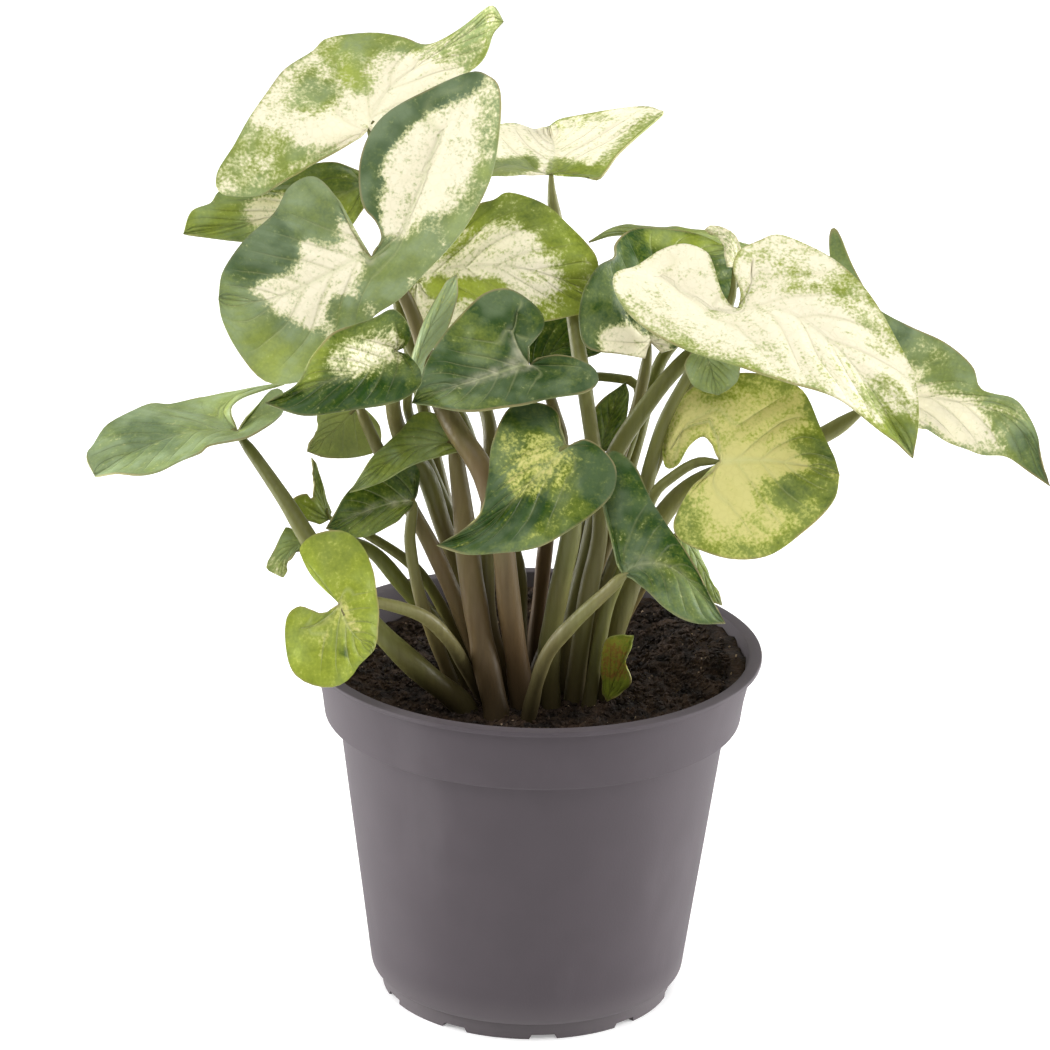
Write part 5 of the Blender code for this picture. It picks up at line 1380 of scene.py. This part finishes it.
def crumb_tree():
    """Geometry Nodes: irregular crumbs scattered over the upward faces of a surface."""
    tree, given, out = new_tree(
        "soil_crumbs", "GeometryNodeTree",
        [("Geometry", "Geometry"), ("Density", "Float"), ("Size", "Float"), ("Centre", "Vector"),
         ("Reach", "Float"), ("Seed", "Int"), ("Stuff", "Material")], [("Geometry", "Geometry")])
    normal = new_node(tree, "GeometryNodeInputNormal").outputs[0]
    position = new_node(tree, "GeometryNodeInputPosition").outputs[0]
    level = new_node(tree, "ShaderNodeVectorMath", {0: position, 1: (1.0, 1.0, 0.0)},
                     operation="MULTIPLY")
    away = new_node(tree, "ShaderNodeVectorMath", {0: level.outputs[0], 1: given.outputs["Centre"]},
                    operation="DISTANCE")
    upward = new_node(tree, "FunctionNodeCompare", {0: height_of(tree, normal), 1: 0.4},
                      operation="GREATER_THAN")
    inside = new_node(tree, "FunctionNodeCompare",
                      {0: away.outputs["Value"], 1: given.outputs["Reach"]}, operation="LESS_THAN")
    both = new_node(tree, "FunctionNodeBooleanMath", {0: upward.outputs[0], 1: inside.outputs[0]},
                    operation="AND")
    scatter = new_node(tree, "GeometryNodeDistributePointsOnFaces",
                       {"Mesh": given.outputs["Geometry"], "Selection": both.outputs[0],
                        "Density": given.outputs["Density"], "Seed": given.outputs["Seed"]})
    ball = new_node(tree, "GeometryNodeMeshIcoSphere", {"Radius": 1.0, "Subdivisions": 1})
    lumps = new_node(tree, "ShaderNodeTexNoise", {"Scale": 1.3, "Detail": 1.0})
    centred = new_node(tree, "ShaderNodeVectorMath",
                       {0: lumps.outputs["Color"], 1: (0.5, 0.5, 0.5)}, operation="SUBTRACT")
    push = new_node(tree, "ShaderNodeVectorMath", {0: centred.outputs[0], "Scale": 1.6},
                    operation="SCALE")
    bend = new_node(tree, "GeometryNodeSetPosition", {0: ball.outputs[0], "Offset": push.outputs[0]})
    turn, scale = (new_node(tree, "FunctionNodeRandomValue", {0: (low,) * 3, 1: (high,) * 3},
                            data_type="FLOAT_VECTOR").outputs[0]
                   for low, high in ((0.0, tau), (0.2, 1.0)))
    sized = new_node(tree, "ShaderNodeVectorMath", {0: scale, "Scale": given.outputs["Size"]},
                     operation="SCALE")
    placed = new_node(tree, "GeometryNodeInstanceOnPoints",
                      {"Points": scatter.outputs[0], "Instance": bend.outputs[0], "Rotation": turn,
                       "Scale": sized.outputs[0]})
    whole = new_node(tree, "GeometryNodeRealizeInstances", {0: placed.outputs[0]})
    stuff = new_node(tree, "GeometryNodeSetMaterial",
                     {"Geometry": whole.outputs[0], "Material": given.outputs["Stuff"]})
    feed(tree, out, {0: stuff.outputs[0]})
    return tree


def crumbs(tree, surface, name, density, size, seed, material):
    """Crumbs on a surface as a plain mesh."""
    mesh = grown_mesh(name, surface.copy(), tree, {
        "Density": density, "Size": size, "Centre": AXIS, "Seed": seed,
        "Reach": BAND_LOW_RADIUS - WALL - 1.5 * size, "Stuff": bpy.data.materials[material]})
    mesh.shade_flat()
    return mesh


# ---- studio ----------------------------------------------------------------------------------------
LAMPS = (                       # name, place from the pot's axis, size of the side, watts
    ("key", (-0.15, -0.55, 1.35), 1.5, 18.0), ("back", (0.2, 0.9, 1.0), 0.7, 4.0),
    ("left_side", (-0.9, 0.22, 0.1), 0.8, 25.0), ("right_side", (0.9, 0.22, 0.1), 0.8, 25.0))
LAMP_AIM = Vector((0.0, 0.0, 0.13))
CAMERA_AIM = Vector((-3.1 * MM, 0.0, 129.2 * MM))
CAMERA_DISTANCE = 1.302
CAMERA_PITCH, CAMERA_ROLL = radians(19.85), radians(1.31)
CAMERA_LENS = 171.43            # millimetres
WHITE = (1.0, 1.0, 1.0)


def make_floor(scene):
    """A plain pale floor."""
    bm = bmesh.new()
    bmesh.ops.create_grid(bm, x_segments=1, y_segments=1, size=6.0)
    mesh = bpy.data.meshes.new("studio_floor")
    bm.to_mesh(mesh)
    bm.free()
    tree, shader, _ = new_material("pale_floor", 0.9, 0.0)
    feed(tree, shader, {"Base Color": scene.syngonium_colours.floor, "Emission Color": WHITE,
                        "Emission Strength": 0.3})
    mesh.materials.append(bpy.data.materials["pale_floor"])
    floor = bpy.data.objects.new("studio_floor", mesh)
    scene.collection.objects.link(floor)


def make_lights(scene):
    """A white surround and large soft lamps."""
    scene.world = bpy.data.worlds.new("white_studio")
    scene.world.use_nodes = True
    tree = scene.world.node_tree
    feed(tree, tree.nodes["Background"], {"Color": WHITE, "Strength": 0.32})
    for name, spot, size, power in LAMPS:
        lamp = bpy.data.lights.new(name, "AREA")
        lamp.shape = "SQUARE"
        lamp.size = size
        lamp.energy = power
        holder = bpy.data.objects.new(name, lamp)
        holder.location = AXIS + Vector(spot)
        aim = AXIS + LAMP_AIM - holder.location
        holder.rotation_euler = aim.to_track_quat("-Z", "Y").to_euler()
        scene.collection.objects.link(holder)


def make_camera(scene):
    """The camera: a long lens, a little above the leaves and turned slightly."""
    ahead = Vector((0.0, cos(CAMERA_PITCH), -sin(CAMERA_PITCH)))
    up = Vector((0.0, sin(CAMERA_PITCH), cos(CAMERA_PITCH)))
    right = Vector((1.0, 0.0, 0.0))
    across = cos(CAMERA_ROLL) * right + sin(CAMERA_ROLL) * up
    above = -sin(CAMERA_ROLL) * right + cos(CAMERA_ROLL) * up
    data = bpy.data.cameras.new("studio_camera")
    data.sensor_width = 36.0
    data.lens = CAMERA_LENS
    data.clip_start, data.clip_end = 0.05, 30.0
    camera = bpy.data.objects.new("studio_camera", data)
    turn = Matrix((across, above, -ahead)).transposed()
    eye = AXIS + CAMERA_AIM - ahead * CAMERA_DISTANCE
    camera.matrix_world = Matrix.Translation(eye) @ turn.to_4x4()
    scene.collection.objects.link(camera)
    scene.camera = camera
    scene.view_settings.view_transform = "Standard"


# ---- operators -------------------------------------------------------------------------------------
class SYNGONIUM_OT_pot(bpy.types.Operator):
    """Make the nursery pot"""
    bl_idname = "syngonium.pot"
    bl_label = "Nursery pot"

    def execute(self, context):
        """Replace the pot's solid by a finely turned one."""
        scene = context.scene
        make_materials(scene.syngonium_colours)
        link_piece("nursery_pot", pot_mesh(scene.syngonium_sizes), "pot_plastic", "pot")
        return {"FINISHED"}


class SYNGONIUM_OT_soil(bpy.types.Operator):
    """Make the soil with its crumbs and flecks"""
    bl_idname = "syngonium.soil"
    bl_label = "Soil"

    def execute(self, context):
        """Replace the soil's solid and scatter crumbs on it."""
        scene = context.scene
        sizes = scene.syngonium_sizes
        make_materials(scene.syngonium_colours)
        ground = soil_mesh(sizes)
        tree = crumb_tree()
        loose = crumbs(tree, ground, "soil_crumbs", sizes.crumb_density, sizes.crumb_size, 3,
                       "peat_soil")
        flecks = crumbs(tree, ground, "soil_flecks", sizes.fleck_density, sizes.crumb_size * 0.45, 11,
                        "soil_fleck")
        link_piece("soil_ball", ground, "peat_soil", "soil")
        link_piece("soil_crumbs", loose, "peat_soil")
        link_piece("soil_flecks", flecks, "soil_fleck")
        return {"FINISHED"}


class SYNGONIUM_OT_stalks(bpy.types.Operator):
    """Make the leaf stalks"""
    bl_idname = "syngonium.stalks"
    bl_label = "Stalks"

    def execute(self, context):
        """Replace each stalk's solid by a rounder, tinted tube."""
        scene = context.scene
        make_materials(scene.syngonium_colours)
        tree = stalk_tube_tree(scene.syngonium_sizes)
        for name, leaf in LEAVES.items():
            mesh = stalk_mesh("petiole_" + name, leaf, LOOKS[name], scene.syngonium_sizes, tree)
            link_piece("petiole_" + name, mesh, "stalk_skin", "stalk_" + name)
        return {"FINISHED"}


class SYNGONIUM_OT_leaves(bpy.types.Operator):
    """Make the leaf blades"""
    bl_idname = "syngonium.leaves"
    bl_label = "Leaves"

    def execute(self, context):
        """Replace each blade's solid by a finely shaped, variegated blade."""
        scene = context.scene
        make_materials(scene.syngonium_colours)
        for name, leaf in LEAVES.items():
            look = LOOKS[name]
            mesh = blade_mesh("leaf_" + name, leaf, look, scene.syngonium_sizes)
            link_piece("leaf_" + name, mesh, look["slot"].replace("leaf", "blade"),
                       "blade_" + name)
        mesh = blade_mesh("dry_sheath", BRACT, BRACT_LOOK, scene.syngonium_sizes)
        link_piece("dry_sheath", mesh, "bract_skin", "base_bract")
        return {"FINISHED"}


class SYNGONIUM_OT_studio(bpy.types.Operator):
    """Make the floor, the lights and the camera"""
    bl_idname = "syngonium.studio"
    bl_label = "Studio"

    def execute(self, context):
        """A pale floor, soft light and a camera a little above the leaves."""
        make_floor(context.scene)
        make_lights(context.scene)
        make_camera(context.scene)
        return {"FINISHED"}


class SYNGONIUM_PT_panel(bpy.types.Panel):
    """Sizes, colours and steps of the syngonium"""
    bl_idname = "SYNGONIUM_PT_panel"
    bl_label = "Potted syngonium"
    bl_space_type = "VIEW_3D"
    bl_region_type = "UI"
    bl_category = "Syngonium"

    def draw(self, context):
        """List the properties and the operators."""
        layout = self.layout
        for group in (context.scene.syngonium_sizes, context.scene.syngonium_colours):
            for name in group.__annotations__:
                layout.prop(group, name)
        for step in STEPS:
            layout.operator(step.bl_idname)


STEPS = (SYNGONIUM_OT_pot, SYNGONIUM_OT_soil, SYNGONIUM_OT_stalks, SYNGONIUM_OT_leaves,
         SYNGONIUM_OT_studio)
CLASSES = (SyngoniumSizes, SyngoniumColours, *STEPS, SYNGONIUM_PT_panel)


def register():
    """Register the classes and their properties."""
    for item in CLASSES:
        bpy.utils.register_class(item)
    bpy.types.Scene.syngonium_sizes = PointerProperty(type=SyngoniumSizes)
    bpy.types.Scene.syngonium_colours = PointerProperty(type=SyngoniumColours)


def unregister():
    """Remove the classes and their properties."""
    del bpy.types.Scene.syngonium_sizes
    del bpy.types.Scene.syngonium_colours
    for item in reversed(CLASSES):
        bpy.utils.unregister_class(item)


def main():
    """Dress the frame."""
    register()
    bpy.ops.syngonium.pot()
    bpy.ops.syngonium.soil()
    bpy.ops.syngonium.stalks()
    bpy.ops.syngonium.leaves()
    bpy.ops.syngonium.studio()


if __name__ == "__main__":
    main()
